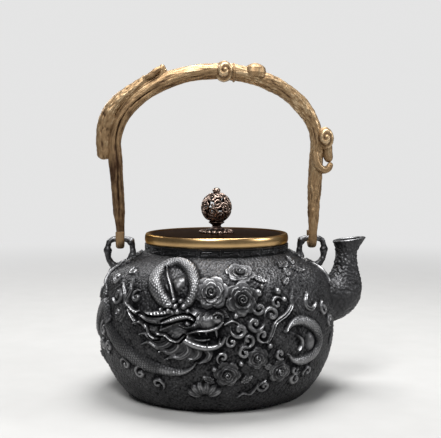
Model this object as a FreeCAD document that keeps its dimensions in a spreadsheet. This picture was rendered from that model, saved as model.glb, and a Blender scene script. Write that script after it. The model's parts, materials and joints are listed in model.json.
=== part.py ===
import FreeCAD, Part
import math
import os

import Sketcher
from FreeCAD import Placement, Rotation, Vector

# A squat cast iron kettle with a cast brass branch for a bail, a flat lid and a pierced ball for a knob.
# The origin is the centre of the base, +Z is up and +X points to the spout. All lengths are millimetres.

SIZES = (
    ("base_round", 8.0, "round between the flat base and the belly"),
    ("belly_radius", 78.0, "widest radius of the bare iron, without its relief"),
    ("belly_height", 45.0, "height of the widest ring above the base"),
    ("belly_lower_curve", 62.0, "radius of the profile below the widest ring"),
    ("belly_upper_curve", 110.0, "radius of the profile above the widest ring"),
    ("shoulder_curve", 13.0, "radius of the turn from belly to shoulder"),
    ("shoulder_angle", 15.5, "angle above the widest ring where that turn starts, degrees"),
    ("iron_wall", 3.2, "wall of the pot"),
    ("floor_thickness", 4.0, "thickness of the base"),
    ("floor_round", 10.0, "inner round between floor and wall"),
    ("neck_radius", 47.0, "outer radius of the upright neck"),
    ("neck_wall", 3.4, "wall of the neck"),
    ("shoulder_rise", 49.0, "height of the neck's foot above the widest ring"),
    ("neck_height", 7.0, "height of the upright neck, on whose rim the lid rests"),
    ("strainer_drop", 0.5, "how far the strainer lies below the spout's root"),
    ("strainer_hole", 5.0, "diameter of one strainer hole"),
    ("strainer_ring", 8.5, "radius of the ring of strainer holes"),
    ("spout_root_depth", 16.0, "how deep inside the belly the spout's centre line starts"),
    ("spout_root_rise", 15.5, "height of the spout's root above the widest ring"),
    ("spout_heel", 34.0, "how far the centre line swings outwards before it turns up"),
    ("spout_rise", 21.0, "length of the upright stretch below the mouth"),
    ("spout_lean_angle", 12.0, "lean of the upright stretch, degrees"),
    ("spout_gap", 4.3, "gap between the front lug and the spout's mouth"),
    ("spout_tip_drop", 0.5, "how far the mouth's centre lies below the rim"),
    ("spout_mouth_angle", 7.0, "how far the beak stands above the level, degrees"),
    ("spout_root_width", 35.0, "width of the spout inside the belly"),
    ("spout_heel_width", 33.6, "width where it leaves the belly"),
    ("spout_bend_width", 30.0, "width in the bend"),
    ("spout_knee_width", 23.4, "width above the bend"),
    ("spout_throat_width", 17.4, "width of the throat"),
    ("spout_waist_width", 14.2, "narrowest width"),
    ("spout_mouth_width", 20.4, "width of the flared mouth"),
    ("spout_depth_ratio", 0.88, "depth of a section as a share of its width"),
    ("spout_wall", 2.5, "wall of the spout"),
    ("lug_offset", 1.9, "how far a ring lug stands outside the middle between neck and belly"),
    ("lug_wire", 3.6, "thickness of a ring lug"),
    ("lug_pin_length", 6.2, "straight top of the ring, on which the bail turns"),
    ("lug_bend", 5.2, "radius of the ring's upper corners"),
    ("lug_side", 5.0, "straight drop of the ring's outer side"),
    ("lug_root_depth", 22.0, "depth of the ring's inner root below the pin"),
    ("pin_rise", 7.7, "height of the bail's turning axis above the neck's foot"),
    ("hook_clearance", 0.3, "play between hook and pin"),
    ("hook_strap", 4.4, "thickness of the hook's strap"),
    ("hook_width", 5.6, "width of the hook along the pin"),
    ("hook_tip", 5.0, "height of the hook's free tip above the pin"),
    ("hook_shank", 15.0, "height of the hook's shank above the pin"),
    ("hook_edge", 1.3, "round along the hook's edges"),
    ("bail_spread", 3.2, "how much further out than its pins the bail's legs stand"),
    ("bail_leg_rise", 62.3, "height above the pins where the legs turn into the arch"),
    ("bail_arch_rise", 49.0, "height of the arch's centre line above its legs"),
    ("bail_crown_width", 10.2, "thickness of the bough at the crown"),
    ("bail_shoulder_width", 11.0, "thickness of the bough at the arch's shoulders"),
    ("bail_leg_width", 8.9, "thickness of a leg"),
    ("bail_foot_width", 7.0, "thickness of a leg above its hook"),
    ("bail_depth_ratio", 0.92, "depth of the bough as a share of its thickness"),
    ("knot_reach", 5.0, "place of the crown knot along the arch"),
    ("knot_width", 13.4, "width of the crown knot"),
    ("bud_reach", 25.5, "place of the bud along the arch"),
    ("bud_width", 10.0, "width of the bud"),
    ("bud_rise", 4.4, "height of the bud's centre above the bough's centre line"),
    ("strand_stand", 8.8, "distance of the outer strand from the bough's centre line at the rear shoulder"),
    ("strand_width", 8.8, "thickness of the outer strand there"),
    ("strand_end_rise", 54.8, "height above the pins where the outer strand is cut off beside the rear leg"),
    ("burl_rise", 7.0, "height of the burl on the front shoulder above the top of the leg"),
    ("burl_width", 11.0, "width of that burl"),
    ("twig_curl", 3.8, "radius of the curled twig's turn below the burl"),
    ("twig_drop", 12.0, "length of the curled twig between burl and turn"),
    ("twig_width", 3.6, "thickness of the curled twig"),
    ("lid_overhang", 1.0, "how far the lid stands out over the neck"),
    ("lid_edge", 4.8, "height of the lid's rolled edge"),
    ("lid_edge_round", 2.6, "round of the rolled edge"),
    ("lid_edge_width", 3.8, "width of the rolled edge"),
    ("lid_plate_thickness", 2.2, "thickness of the lid's plate"),
    ("collar_clearance", 0.5, "play between the lid's collar and the mouth"),
    ("collar_wall", 2.0, "wall of the collar"),
    ("collar_depth", 8.0, "depth of the collar below the rim"),
    ("rosette_radius", 11.7, "outer radius of the petalled seat"),
    ("rosette_thickness", 2.4, "thickness of the petalled seat"),
    ("rosette_edge", 1.0, "thickness of a petal's end"),
    ("petal_gap", 1.5, "diameter of the notch between two petals"),
    ("stem_foot_radius", 4.8, "radius of the stem's foot"),
    ("stem_waist_radius", 2.9, "radius of the stem's waist"),
    ("stem_cup_radius", 5.4, "radius of the cup that carries the ball"),
    ("ball_radius", 10.4, "outer radius of the pierced ball"),
    ("ball_wall", 1.5, "wall of the pierced ball"),
    ("ball_above_lid", 16.8, "height of the ball's centre above the lid"),
    ("ball_flat_radius", 2.7, "flat on top of the ball, under the bolt's head"),
    ("piercing_width", 3.9, "width of one piercing of the ball"),
    ("bolt_diameter", 3.0, "shank of the knob's bolt"),
    ("bolt_clearance", 0.1, "play round the bolt"),
    ("bead_radius", 2.5, "radius of the bolt's round head"),
    ("bead_height", 4.2, "height of the bolt's round head"),
    ("bolt_end", 1.0, "length of the bolt past its nut"),
    ("washer_radius", 5.0, "radius of the washer"),
    ("washer_thickness", 1.0, "thickness of the washer"),
    ("nut_radius", 3.2, "radius of the nut over its corners"),
    ("nut_thickness", 2.4, "thickness of the nut"),
)

STRAINER_HOLES = 6
PETALS = 18
PIERCINGS_ROUND = 7
PIERCING_TILTS = (-42.0, 0.0, 42.0)
# Places of the spout's sections along its centre line, from root to mouth.
SPOUT_STATIONS = (0.0, 0.22, 0.38, 0.52, 0.66, 0.83, 1.0)
# Angle of the pot's sector that holds the strainer, in degrees.
STRAINER_SECTOR = 20.0
# Turn with which a ring lug's outer side runs back into the shoulder, in degrees.
LUG_SWEEP = 120.0
# Sections of a leg, from its hook upwards: name, place as a share of the leg's height, whose thickness it
# has, and how far it still lies beside the pin as a share of the foot's own distance.
LEG_ROWS = (("foot", 0.0, "foot", 1.0), ("ankle", 0.24, "leg", 0.55), ("shin", 0.62, "leg", 0.0))
# Angles of the arch's sections, from the rear leg over the crown to the front leg.
ARCH_ANGLES = (180.0, 157.5, 135.0, 112.5, 90.0, 67.5, 45.0, 22.5, 0.0)
# The outer strand on the rear shoulder, from its twig tip to its elbow: angle on the arch, then its distance
# and its thickness as shares of those at the elbow.
STRAND_ROWS = (
    (119.0, 0.92, 0.40), (127.0, 0.76, 0.62), (136.0, 0.70, 0.80), (146.0, 0.86, 0.96),
    (156.0, 1.0, 1.06), (166.0, 1.0, 1.04), (176.0, 0.92, 1.0),
)
# The cut end of that strand beside the leg: distance above the end, thickness as a share.
STRAND_END_ROWS = ((3.0, 0.92), (0.9, 0.80), (0.0, 0.46))
# Shares of a radius: how far the burl's centre stands out of the bough, how deep the twig's top is sunk in
# the burl, and where a piercing starts inside the ball.
BURL_OUT = 0.8
TWIG_SINK = 0.6
PIERCING_START = 0.7
# How a ball on the bail is turned, as an axis and an angle: its poles lie along Y, its seam up or outwards.
SEAM_UP = (1.0, 1.0, 1.0, -120.0)
SEAM_OUT = (1.0, 0.0, 0.0, 90.0)

doc = FreeCAD.newDocument("Kettle")
sheet = doc.addObject("Spreadsheet::Sheet", "Sizes")
for row, (alias, number, meaning) in enumerate(SIZES, start=1):
    sheet.set(f"A{row}", meaning)
    sheet.set(f"B{row}", str(number))
    sheet.setAlias(f"B{row}", alias)
doc.recompute()


class Size:
    """A number together with the sheet formula that gives it, so that sums of sizes stay bound to it."""

    def __init__(self, value, formula):
        self.value = value
        self.formula = formula

    def __add__(self, other):
        other = as_size(other)
        return Size(self.value + other.value, f"({self.formula} + {other.formula})")

    def __sub__(self, other):
        other = as_size(other)
        return Size(self.value - other.value, f"({self.formula} - {other.formula})")

    def __mul__(self, other):
        other = as_size(other)
        return Size(self.value * other.value, f"({self.formula} * {other.formula})")

    def __truediv__(self, other):
        other = as_size(other)
        return Size(self.value / other.value, f"({self.formula} / {other.formula})")

    def __neg__(self):
        return Size(-self.value, f"(0 - {self.formula})")


def as_size(number):
    """A plain number as a size of its own; a size stays as it is."""
    return number if isinstance(number, Size) else Size(float(number), repr(float(number)))


def named(alias):
    """The size kept in the sheet under an alias."""
    return Size(float(sheet.get(alias)), f"Sizes.{alias}")


def root(size):
    """The square root of a size."""
    return Size(math.sqrt(size.value), f"sqrt({size.formula})")


def cosine(size):
    """The cosine of a size in degrees."""
    return Size(math.cos(math.radians(size.value)), f"cos({size.formula} * 1 deg)")


def sine(size):
    """The sine of a size in degrees."""
    return Size(math.sin(math.radians(size.value)), f"sin({size.formula} * 1 deg)")


def side_of(hypotenuse, other_side):
    """The remaining side of a right triangle."""
    return root(hypotenuse * hypotenuse - other_side * other_side)


ZERO = as_size(0.0)

# Heights and distances that follow from the sizes.
neck_foot_height = named("belly_height") + named("shoulder_rise")
rim_height = neck_foot_height + named("neck_height")
pin_height = neck_foot_height + named("pin_rise")
spout_root_height = named("belly_height") + named("spout_root_rise")
strainer_height = spout_root_height - named("strainer_drop")
spout_tip_height = rim_height - named("spout_tip_drop")
lug_reach = (named("neck_radius") + named("belly_radius")) / 2 + named("lug_offset")
lug_outside = lug_reach + named("lug_pin_length") / 2 + named("lug_bend") + named("lug_wire") / 2
spout_start = named("belly_radius") - named("spout_root_depth")
spout_tip_reach = lug_outside + named("spout_gap") + named("spout_mouth_width") / 2
bail_half_span = lug_reach + named("bail_spread")
bail_spring_height = pin_height + named("bail_leg_rise")
strand_end_height = pin_height + named("strand_end_rise")
burl_height = bail_spring_height + named("burl_rise")
lid_radius = named("neck_radius") + named("lid_overhang")
lid_edge_inside = lid_radius - named("lid_edge_width")


def bind(owner, path, size):
    """Sets one property of an object from a size, bound to the sheet."""
    owner.setExpression(path, size.formula)


def new_body(name):
    """An empty body with a label of its own."""
    body = doc.addObject("PartDesign::Body", name)
    body.Label = name
    return body


def new_sketch(body, name, role):
    """An empty sketch on one of the body's own origin planes."""
    sketch = body.newObject("Sketcher::SketchObject", name)
    plane = next(item for item in body.Origin.OriginFeatures if item.Role == role)
    sketch.AttachmentSupport = [(plane, "")]
    sketch.MapMode = "FlatFace"
    return sketch


def pin_point(sketch, shape, vertex, place):
    """Binds one point of a sketch to a pair of sizes."""
    for kind, axis, size in (("DistanceX", -2, place[0]), ("DistanceY", -1, place[1])):
        if size is ZERO:
            sketch.addConstraint(Sketcher.Constraint("PointOnObject", shape, vertex, axis))
        else:
            index = sketch.addConstraint(Sketcher.Constraint(kind, -1, 1, shape, vertex, size.value))
            bind(sketch, f"Constraints[{index}]", size)


def draw(sketch, points, bends=(), closed=True):
    """Draws a chain of lines and arcs through points.

    bends maps the number of a stretch to (radius, turn): turn is 1 for an arc to the left, -1 to the right.
    """
    bends = dict(bends)
    stretches = len(points) if closed else len(points) - 1
    ends = []
    for number in range(stretches):
        start, end = points[number], points[(number + 1) % len(points)]
        first = Vector(start[0].value, start[1].value, 0)
        last = Vector(end[0].value, end[1].value, 0)
        if number not in bends:
            shape = sketch.addGeometry(Part.LineSegment(first, last), False)
            ends.append((shape, 1, 2))
            continue
        radius, turn = bends[number]
        chord = last - first
        rise = math.sqrt(radius.value ** 2 - (chord.Length / 2) ** 2)
        left = Vector(-chord.y, chord.x, 0).normalize()
        centre = (first + last) * 0.5 + left * (rise * turn)
        begin, finish = (first, last) if turn > 0 else (last, first)
        angles = [math.atan2(p.y - centre.y, p.x - centre.x) for p in (begin, finish)]
        circle = Part.Circle(centre, Vector(0, 0, 1), radius.value)
        shape = sketch.addGeometry(Part.ArcOfCircle(circle, angles[0], angles[1]), False)
        ends.append((shape, 1, 2) if turn > 0 else (shape, 2, 1))
    for number, (shape, begin, finish) in enumerate(ends):
        if number + 1 < len(ends) or closed:
            following = ends[(number + 1) % len(ends)]
            sketch.addConstraint(Sketcher.Constraint("Coincident", shape, finish, following[0], following[1]))
        pin_point(sketch, shape, begin, points[number])
    if not closed:
        pin_point(sketch, ends[-1][0], ends[-1][2], points[-1])
    for number, (radius, _turn) in bends.items():
        index = sketch.addConstraint(Sketcher.Constraint("Radius", ends[number][0], radius.value))
        bind(sketch, f"Constraints[{index}]", radius)


def draw_circle(sketch, centre, radius):
    """Draws one circle, its centre and radius bound to sizes."""
    place = Vector(centre[0].value, centre[1].value, 0)
    shape = sketch.addGeometry(Part.Circle(place, Vector(0, 0, 1), radius.value), False)
    pin_point(sketch, shape, 3, centre)
    index = sketch.addConstraint(Sketcher.Constraint("Radius", shape, radius.value))
    bind(sketch, f"Constraints[{index}]", radius)


def turned(name, points, bends=()):
    """A body turned about the vertical axis from an outline of (radius, height) points."""
    body = new_body(name)
    sketch = new_sketch(body, f"{name}_outline", "YZ_Plane")
    draw(sketch, points, bends)
    revolution = body.newObject("PartDesign::Revolution", f"{name}_turning")
    revolution.Profile = sketch
    revolution.ReferenceAxis = (sketch, ["V_Axis"])
    revolution.Angle = 360.0
    return body


def tangent_point(outside, centre, radius):
    """Where a straight line from an outside point touches a circle, on the circle's upper right."""
    across = outside[0] - centre[0]
    upward = outside[1] - centre[1]
    square = across * across + upward * upward
    reach = root(square - radius * radius)
    return (
        centre[0] + radius * (radius * across + upward * reach) / square,
        centre[1] + radius * (radius * upward - across * reach) / square,
    )


def boolean(kind, name, base, tool):
    """A cut, a common or a fuse of two objects."""
    result = doc.addObject(f"Part::{kind}", name)
    result.Base = base
    result.Tool = tool
    result.Label = name
    return result


def gathered(name, shapes):
    """Several objects as one tool for a cut."""
    result = doc.addObject("Part::MultiFuse", name)
    result.Shapes = shapes
    return result


def fused(name, shapes):
    """Several objects joined into one solid, one after the other, each to those before it."""
    result = shapes[0]
    for shape in shapes[1:-1]:
        result = boolean("Fuse", f"{name}_with_{shape.Name}", result, shape)
    return boolean("Fuse", name, result, shapes[-1])


def primitive(kind, name, place, turn=(0.0, 0.0, 1.0, 0.0), **sizes):
    """A primitive with its measures and its place bound to sizes; turn is an axis and an angle in degrees."""
    item = doc.addObject(f"Part::{kind}", name)
    for key, size in sizes.items():
        bind(item, key, as_size(size))
    item.Placement = Placement(Vector(), Rotation(Vector(*turn[:3]), turn[3]))
    for axis, size in zip("xyz", place):
        bind(item, f"Placement.Base.{axis}", as_size(size))
    return item


# The pot

def pot_contour(inset, floor, corner, neck_inset):
    """Points and bends of the pot's half outline from the base to the neck, moved inwards by an inset."""
    belly = named("belly_radius") - inset
    height = named("belly_height")
    lower = named("belly_lower_curve") - inset
    upper = named("belly_upper_curve") - inset
    shoulder = named("shoulder_curve") - inset
    turn = named("shoulder_angle")
    lower_centre = belly - lower
    corner_rise = height - floor - corner
    corner_out = side_of(lower - corner, corner_rise)
    share = lower / (lower - corner)
    upper_centre = belly - upper
    shoulder_centre = (
        upper_centre + (upper - shoulder) * cosine(turn),
        height + (upper - shoulder) * sine(turn),
    )
    neck = named("neck_radius") - neck_inset
    neck_foot = (neck, neck_foot_height - inset)
    points = [
        (lower_centre + corner_out, floor),
        (lower_centre + corner_out * share, height - corner_rise * share),
        (belly, height),
        (upper_centre + upper * cosine(turn), height + upper * sine(turn)),
        tangent_point(neck_foot, shoulder_centre, shoulder),
        neck_foot,
        (neck, rim_height),
    ]
    return points, [corner, lower, upper, shoulder]


outer, outer_curves = pot_contour(ZERO, ZERO, named("base_round"), ZERO)
inner, inner_curves = pot_contour(
    named("iron_wall"), named("floor_thickness"), named("floor_round"), named("neck_wall")
)

# The pot's outer form, filled: what stands on the iron is trimmed to it.
filled_points = [(ZERO, ZERO), *outer, (ZERO, rim_height)]
outer_bends = {number + 1: (curve, 1) for number, curve in enumerate(outer_curves)}
belly_form = turned("belly_form", filled_points, outer_bends)

pot_points = [(ZERO, ZERO), *outer, *reversed(inner), (ZERO, named("floor_thickness"))]
first_inner = len(outer) + 3
inner_bends = {first_inner + number: (curve, -1) for number, curve in enumerate(reversed(inner_curves))}
pierced_pot = turned("pierced_pot", pot_points, {**outer_bends, **inner_bends})

strainer_sketch = new_sketch(pierced_pot, "strainer_holes", "YZ_Plane")
hole_radius = named("strainer_hole") / 2
draw_circle(strainer_sketch, (ZERO, strainer_height), hole_radius)
for step in range(STRAINER_HOLES):
    angle = 2 * math.pi * (step + 0.5) / STRAINER_HOLES
    across = named("strainer_ring") * math.cos(angle)
    upward = strainer_height + named("strainer_ring") * math.sin(angle)
    draw_circle(strainer_sketch, (across, upward), hole_radius)
doc.recompute()
strainer = pierced_pot.newObject("PartDesign::Pocket", "strainer")
strainer.Profile = strainer_sketch
strainer.Type = "ThroughAll"
strainer.Reversed = True

# The faces of the pot are divided beside the strainer, so that only small ones are pierced.
sector_half = named("strainer_ring") + named("strainer_hole") * 0.75
sector_wedge = primitive(
    "Cylinder", "sector_wedge", (ZERO, ZERO, strainer_height - sector_half),
    (0.0, 0.0, 1.0, -STRAINER_SECTOR / 2),
    Radius=named("belly_radius") + named("strainer_hole"), Height=sector_half * 2, Angle=STRAINER_SECTOR,
)
strainer_sector = boolean("Common", "strainer_sector", pierced_pot, sector_wedge)
closed_round = boolean("Cut", "closed_round", pierced_pot, sector_wedge)
pot_body = boolean("Fuse", "pot_body", closed_round, strainer_sector)
for step in (strainer_sector, closed_round, pot_body):
    step.Refine = False


# The spout

def spout_line(share):
    """Place and heading in degrees of the spout's centre line, a cubic curve from root to mouth."""
    lean = named("spout_lean_angle")
    start = (spout_start, spout_root_height)
    heel = (start[0] + named("spout_heel"), start[1])
    tip = (spout_tip_reach, spout_tip_height)
    knee = (tip[0] - named("spout_rise") * sine(lean), tip[1] - named("spout_rise") * cosine(lean))
    rest = 1 - share
    weights = (rest ** 3, 3 * rest ** 2 * share, 3 * rest * share ** 2, share ** 3)
    slopes = (-rest ** 2, rest ** 2 - 2 * rest * share, 2 * rest * share - share ** 2, share ** 2)
    corners = (start, heel, knee, tip)
    place = [sum((c[i] * w for c, w in zip(corners, weights)), ZERO) for i in (0, 1)]
    run = [sum(c[i].value * s for c, s in zip(corners, slopes)) for i in (0, 1)]
    return place, math.degrees(math.atan2(run[1], run[0]))


def spout_section(name, part, share, inset, past):
    """One oval section across the spout; past moves it outwards along the spout's heading at that place."""
    place, heading = spout_line(share)
    if part == "mouth":
        heading = 90.0 + named("spout_mouth_angle").value
    half = named(f"spout_{part}_width") / 2
    along = (math.cos(math.radians(heading)), math.sin(math.radians(heading)))
    return primitive(
        "Ellipse", name, (place[0] + past * along[0], ZERO, place[1] + past * along[1]),
        (0.0, 1.0, 0.0, 90.0 - heading),
        MajorRadius=half - inset, MinorRadius=half * named("spout_depth_ratio") - inset,
    )


def spout_form(name, inset, overrun):
    """The spout as a loft through oval sections, moved inwards by an inset and run on past its ends."""
    parts = ("root", "heel", "bend", "knee", "throat", "waist", "mouth")
    sections = [
        spout_section(f"{name}_{part}", part, share, inset, ZERO)
        for share, part in zip(SPOUT_STATIONS, parts)
    ]
    if overrun is not ZERO:
        sections.insert(0, spout_section(f"{name}_inlet", "root", 0.0, inset, -overrun))
        sections.append(spout_section(f"{name}_outlet", "mouth", 1.0, inset, overrun))
    loft = doc.addObject("Part::Loft", name)
    loft.Sections = sections
    loft.Solid = True
    return loft


spout_outside = spout_form("spout_outside", ZERO, ZERO)
spout_bore = spout_form("spout_bore", named("spout_wall"), named("spout_wall"))
spout_tube = boolean("Cut", "spout_tube", spout_outside, spout_bore)
spout = boolean("Cut", "spout", spout_tube, belly_form)


# The ring lugs

def ring_lug(name, facing):
    """An iron ring on the shoulder, its straight top along X; facing turns it about the kettle's axis."""
    bend, half_pin = named("lug_bend"), named("lug_pin_length") / 2
    inside = lug_reach - half_pin - bend
    outside = lug_reach + half_pin + bend
    corner = pin_height - bend
    foot = corner - named("lug_side")
    sweep_in = half_pin + bend
    points = [
        (inside, pin_height - named("lug_root_depth")),
        (inside, corner),
        (lug_reach - half_pin, pin_height),
        (lug_reach + half_pin, pin_height),
        (outside, corner),
        (outside, foot),
        (
            lug_reach + sweep_in * math.cos(math.radians(LUG_SWEEP)),
            foot - sweep_in * math.sin(math.radians(LUG_SWEEP)),
        ),
    ]
    body = new_body(f"{name}_ring")
    path = new_sketch(body, f"{name}_path", "XZ_Plane")
    draw(path, points, {1: (bend, -1), 3: (bend, -1), 5: (sweep_in, -1)}, closed=False)
    section = new_sketch(body, f"{name}_section", "XY_Plane")
    bind(section, "AttachmentOffset.Base.z", points[0][1])
    draw_circle(section, (inside, ZERO), named("lug_wire") / 2)
    doc.recompute()
    pipe = body.newObject("PartDesign::AdditivePipe", f"{name}_pipe")
    pipe.Profile = section
    pipe.Spine = path
    body.Placement = Placement(Vector(), Rotation(Vector(0, 0, 1), facing))
    return boolean("Cut", name, body, belly_form)


front_lug = ring_lug("front_lug", 0.0)
rear_lug = ring_lug("rear_lug", 180.0)


# The bail

def hook(name, side, facing):
    """The open hook at the foot of a leg, which goes round the lug's straight top."""
    bore = named("lug_wire") / 2 + named("hook_clearance")
    outside = bore + named("hook_strap")
    tip, shank = named("hook_tip"), named("hook_shank")
    points = [
        (outside, shank), (bore, shank), (bore, ZERO), (ZERO, -bore), (-bore, ZERO), (-bore, tip),
        (-outside, tip), (-outside, ZERO), (ZERO, -outside), (outside, ZERO),
    ]
    body = new_body(name)
    sketch = new_sketch(body, f"{name}_outline", "YZ_Plane")
    draw(sketch, points, {2: (bore, -1), 3: (bore, -1), 7: (outside, 1), 8: (outside, 1)})
    pad = body.newObject("PartDesign::Pad", f"{name}_strap")
    pad.Profile = sketch
    pad.SideType = "Symmetric"
    bind(pad, "Length", named("hook_width"))
    doc.recompute()
    rims = [f"Edge{i}" for i, edge in enumerate(pad.Shape.Edges, 1) if on_hook_rim(edge, outside.value)]
    rounding = body.newObject("PartDesign::Fillet", f"{name}_rounds")
    rounding.Base = (pad, rims)
    bind(rounding, "Radius", named("hook_edge"))
    body.Placement = Placement(Vector(), Rotation(Vector(0, 0, 1), facing))
    bind(body, "Placement.Base.x", lug_reach * side)
    bind(body, "Placement.Base.z", pin_height)
    return body


def on_hook_rim(edge, outside):
    """True for the long outer edges of a hook's two flat sides."""
    middle = edge.valueAt((edge.FirstParameter + edge.LastParameter) / 2)
    from_pin = math.hypot(middle.y, min(middle.z, 0.0))
    flat = abs(edge.Vertexes[0].X - edge.Vertexes[-1].X) < 1e-6
    return flat and from_pin > outside - 1e-3


def bough_section(name, place, heading, width):
    """One oval section across the bough; heading is its direction in the XZ plane, from the vertical."""
    half = width / 2
    return primitive(
        "Ellipse", name, place, (0.0, 1.0, 0.0, heading),
        MajorRadius=half, MinorRadius=half * named("bail_depth_ratio"),
    )


def arch_point(angle):
    """Place and heading of the bough's centre line on its half-elliptic arch."""
    span = bail_half_span
    rise = named("bail_arch_rise")
    across, upward = math.cos(math.radians(angle)), math.sin(math.radians(angle))
    heading = math.degrees(math.atan2(span.value * upward, -rise.value * across))
    return (span * across, ZERO, bail_spring_height + rise * upward), heading


def arch_over(reach):
    """Height of the bough's centre line above a place along X."""
    span = bail_half_span
    return bail_spring_height + named("bail_arch_rise") * side_of(span, reach) / span


def arch_width(angle):
    """Thickness of the bough on the arch: leg, shoulder, crown and back, joined by half waves."""
    turn = abs(angle - 90.0)
    leg, shoulder, crown = (named(f"bail_{part}_width") for part in ("leg", "shoulder", "crown"))
    if turn > 45.0:
        share = 0.5 - 0.5 * math.cos(math.pi * (90.0 - turn) / 45.0)
        return leg * (1 - share) + shoulder * share
    share = 0.5 - 0.5 * math.cos(math.pi * (45.0 - turn) / 45.0)
    return shoulder * (1 - share) + crown * share


def leg_sections(name, side, heading):
    """A leg's sections from its hook up to the arch; the foot lies in the hook's shank, beside the pin."""
    foot_aside = (named("lug_wire") / 2 + named("hook_clearance") + named("hook_strap") / 2) * -side
    bottom = pin_height + named("hook_tip")
    return [
        bough_section(
            f"{name}_{part}",
            (
                (lug_reach + named("bail_spread") * share) * side,
                foot_aside * aside,
                bottom + (bail_spring_height - bottom) * share,
            ),
            heading, named(f"bail_{width}_width"),
        )
        for part, share, width, aside in LEG_ROWS
    ]


arch_sections = [
    bough_section(f"arch_{number}", *arch_point(angle), arch_width(angle))
    for number, angle in enumerate(ARCH_ANGLES)
]
rear_leg = leg_sections("rear_leg", -1, 0.0)
front_leg = leg_sections("front_leg", 1, 180.0)
bough = doc.addObject("Part::Loft", "bough")
bough.Sections = [*rear_leg, *arch_sections, *reversed(front_leg)]
bough.Solid = True

crown_knot = primitive(
    "Sphere", "crown_knot", (named("knot_reach"), ZERO, arch_over(named("knot_reach"))), SEAM_UP,
    Radius=named("knot_width") / 2,
)
bud = primitive(
    "Sphere", "bud", (named("bud_reach"), ZERO, arch_over(named("bud_reach")) + named("bud_rise")), SEAM_UP,
    Radius=named("bud_width") / 2,
)


def strand_section(name, place, heading, share):
    """One round section across the outer strand."""
    half = named("strand_width") / 2 * share
    return primitive(
        "Ellipse", name, place, (0.0, 1.0, 0.0, heading),
        MajorRadius=half, MinorRadius=half * named("bail_depth_ratio"),
    )


def strand_sections():
    """The outer strand's sections: along the outside of the arch from its tip, then down beside the leg."""
    sections = []
    for number, (angle, distance, share) in enumerate(STRAND_ROWS):
        (reach, _depth, height), heading = arch_point(angle)
        outward = (-math.cos(math.radians(heading)), math.sin(math.radians(heading)))
        stand = named("strand_stand") * distance
        place = (reach + stand * outward[0], ZERO, height + stand * outward[1])
        sections.append(strand_section(f"strand_{number}", place, heading, share))
    beside = -(bail_half_span + named("strand_stand") * STRAND_ROWS[-1][1])
    for number, (above, share) in enumerate(STRAND_END_ROWS):
        place = (beside, ZERO, strand_end_height + above)
        sections.append(strand_section(f"strand_end_{number}", place, 0.0, share))
    return sections


outer_strand = doc.addObject("Part::Loft", "outer_strand")
outer_strand.Sections = strand_sections()
outer_strand.Solid = True
burl_half = named("burl_width") / 2
burl_reach = bail_half_span + burl_half * BURL_OUT
burl = primitive("Sphere", "burl", (burl_reach, ZERO, burl_height), SEAM_OUT, Radius=burl_half)
twig_half = named("twig_width") / 2
curl_height = burl_height - burl_half - named("twig_drop")
curled_twig = primitive(
    "Torus", "curled_twig", (bail_half_span + named("twig_curl"), ZERO, curl_height),
    (1.0, 0.0, 0.0, -90.0),
    Radius1=named("twig_curl"), Radius2=twig_half, Angle1=-180, Angle2=180, Angle3=180,
)
hanging_twig = primitive(
    "Cylinder", "hanging_twig",
    (bail_half_span + named("twig_curl") * 2, ZERO, curl_height),
    Radius=twig_half, Height=named("twig_drop") + burl_half * TWIG_SINK,
)
rear_hook = hook("rear_hook", -1, 0.0)
front_hook = hook("front_hook", 1, 180.0)
bail = fused("bail", [
    bough, outer_strand, rear_hook, front_hook, crown_knot, bud, burl, curled_twig, hanging_twig,
])


# The lid

lid_top = rim_height + named("lid_edge")
lid_under = lid_top - named("lid_plate_thickness")
bolt_hole = named("bolt_diameter") / 2 + named("bolt_clearance")
edge_swell = named("lid_edge_round") - side_of(named("lid_edge_round"), named("lid_edge") / 2)
edge_radius = lid_radius - edge_swell
lid_plate = turned(
    "lid_plate",
    [
        (bolt_hole, lid_under), (lid_edge_inside, lid_under), (lid_edge_inside, rim_height),
        (edge_radius, rim_height), (edge_radius, lid_top), (bolt_hole, lid_top),
    ],
    {3: (named("lid_edge_round"), 1)},
)

collar_outside = named("neck_radius") - named("neck_wall") - named("collar_clearance")
collar_inside = collar_outside - named("collar_wall")
collar_foot = rim_height - named("collar_depth")
lid_collar = turned("lid_collar", [
    (collar_inside, collar_foot), (collar_outside, collar_foot),
    (collar_outside, lid_under), (collar_inside, lid_under),
])


# The knob

rosette_top = lid_top + named("rosette_thickness")
rosette_radius = named("rosette_radius")
knob_rosette = turned("knob_rosette", [
    (bolt_hole, lid_top), (rosette_radius, lid_top), (rosette_radius, lid_top + named("rosette_edge")),
    (named("stem_foot_radius"), rosette_top), (bolt_hole, rosette_top),
])
notch_sketch = new_sketch(knob_rosette, "petal_notch", "XY_Plane")
draw_circle(notch_sketch, (rosette_radius, ZERO), named("petal_gap") / 2)
doc.recompute()
notch = knob_rosette.newObject("PartDesign::Pocket", "notch")
notch.Profile = notch_sketch
notch.Type = "ThroughAll"
notch.Reversed = True
petals = knob_rosette.newObject("PartDesign::PolarPattern", "petals")
petals.Originals = [notch]
petals.Axis = (notch_sketch, ["N_Axis"])
petals.Angle = 360.0
petals.Occurrences = PETALS
knob_rosette.Tip = petals

ball_centre = lid_top + named("ball_above_lid")
ball_radius = named("ball_radius")
stem_cup = named("stem_cup_radius")
knob_stem = turned(
    "knob_stem",
    [
        (bolt_hole, rosette_top), (named("stem_foot_radius"), rosette_top),
        (named("stem_waist_radius"), rosette_top + (named("stem_foot_radius") - named("stem_waist_radius"))),
        (stem_cup, ball_centre - side_of(ball_radius, stem_cup)),
        (bolt_hole, ball_centre - side_of(ball_radius, bolt_hole)),
    ],
    {
        1: (named("stem_foot_radius") - named("stem_waist_radius"), -1),
        3: (ball_radius, -1),
    },
)

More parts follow.
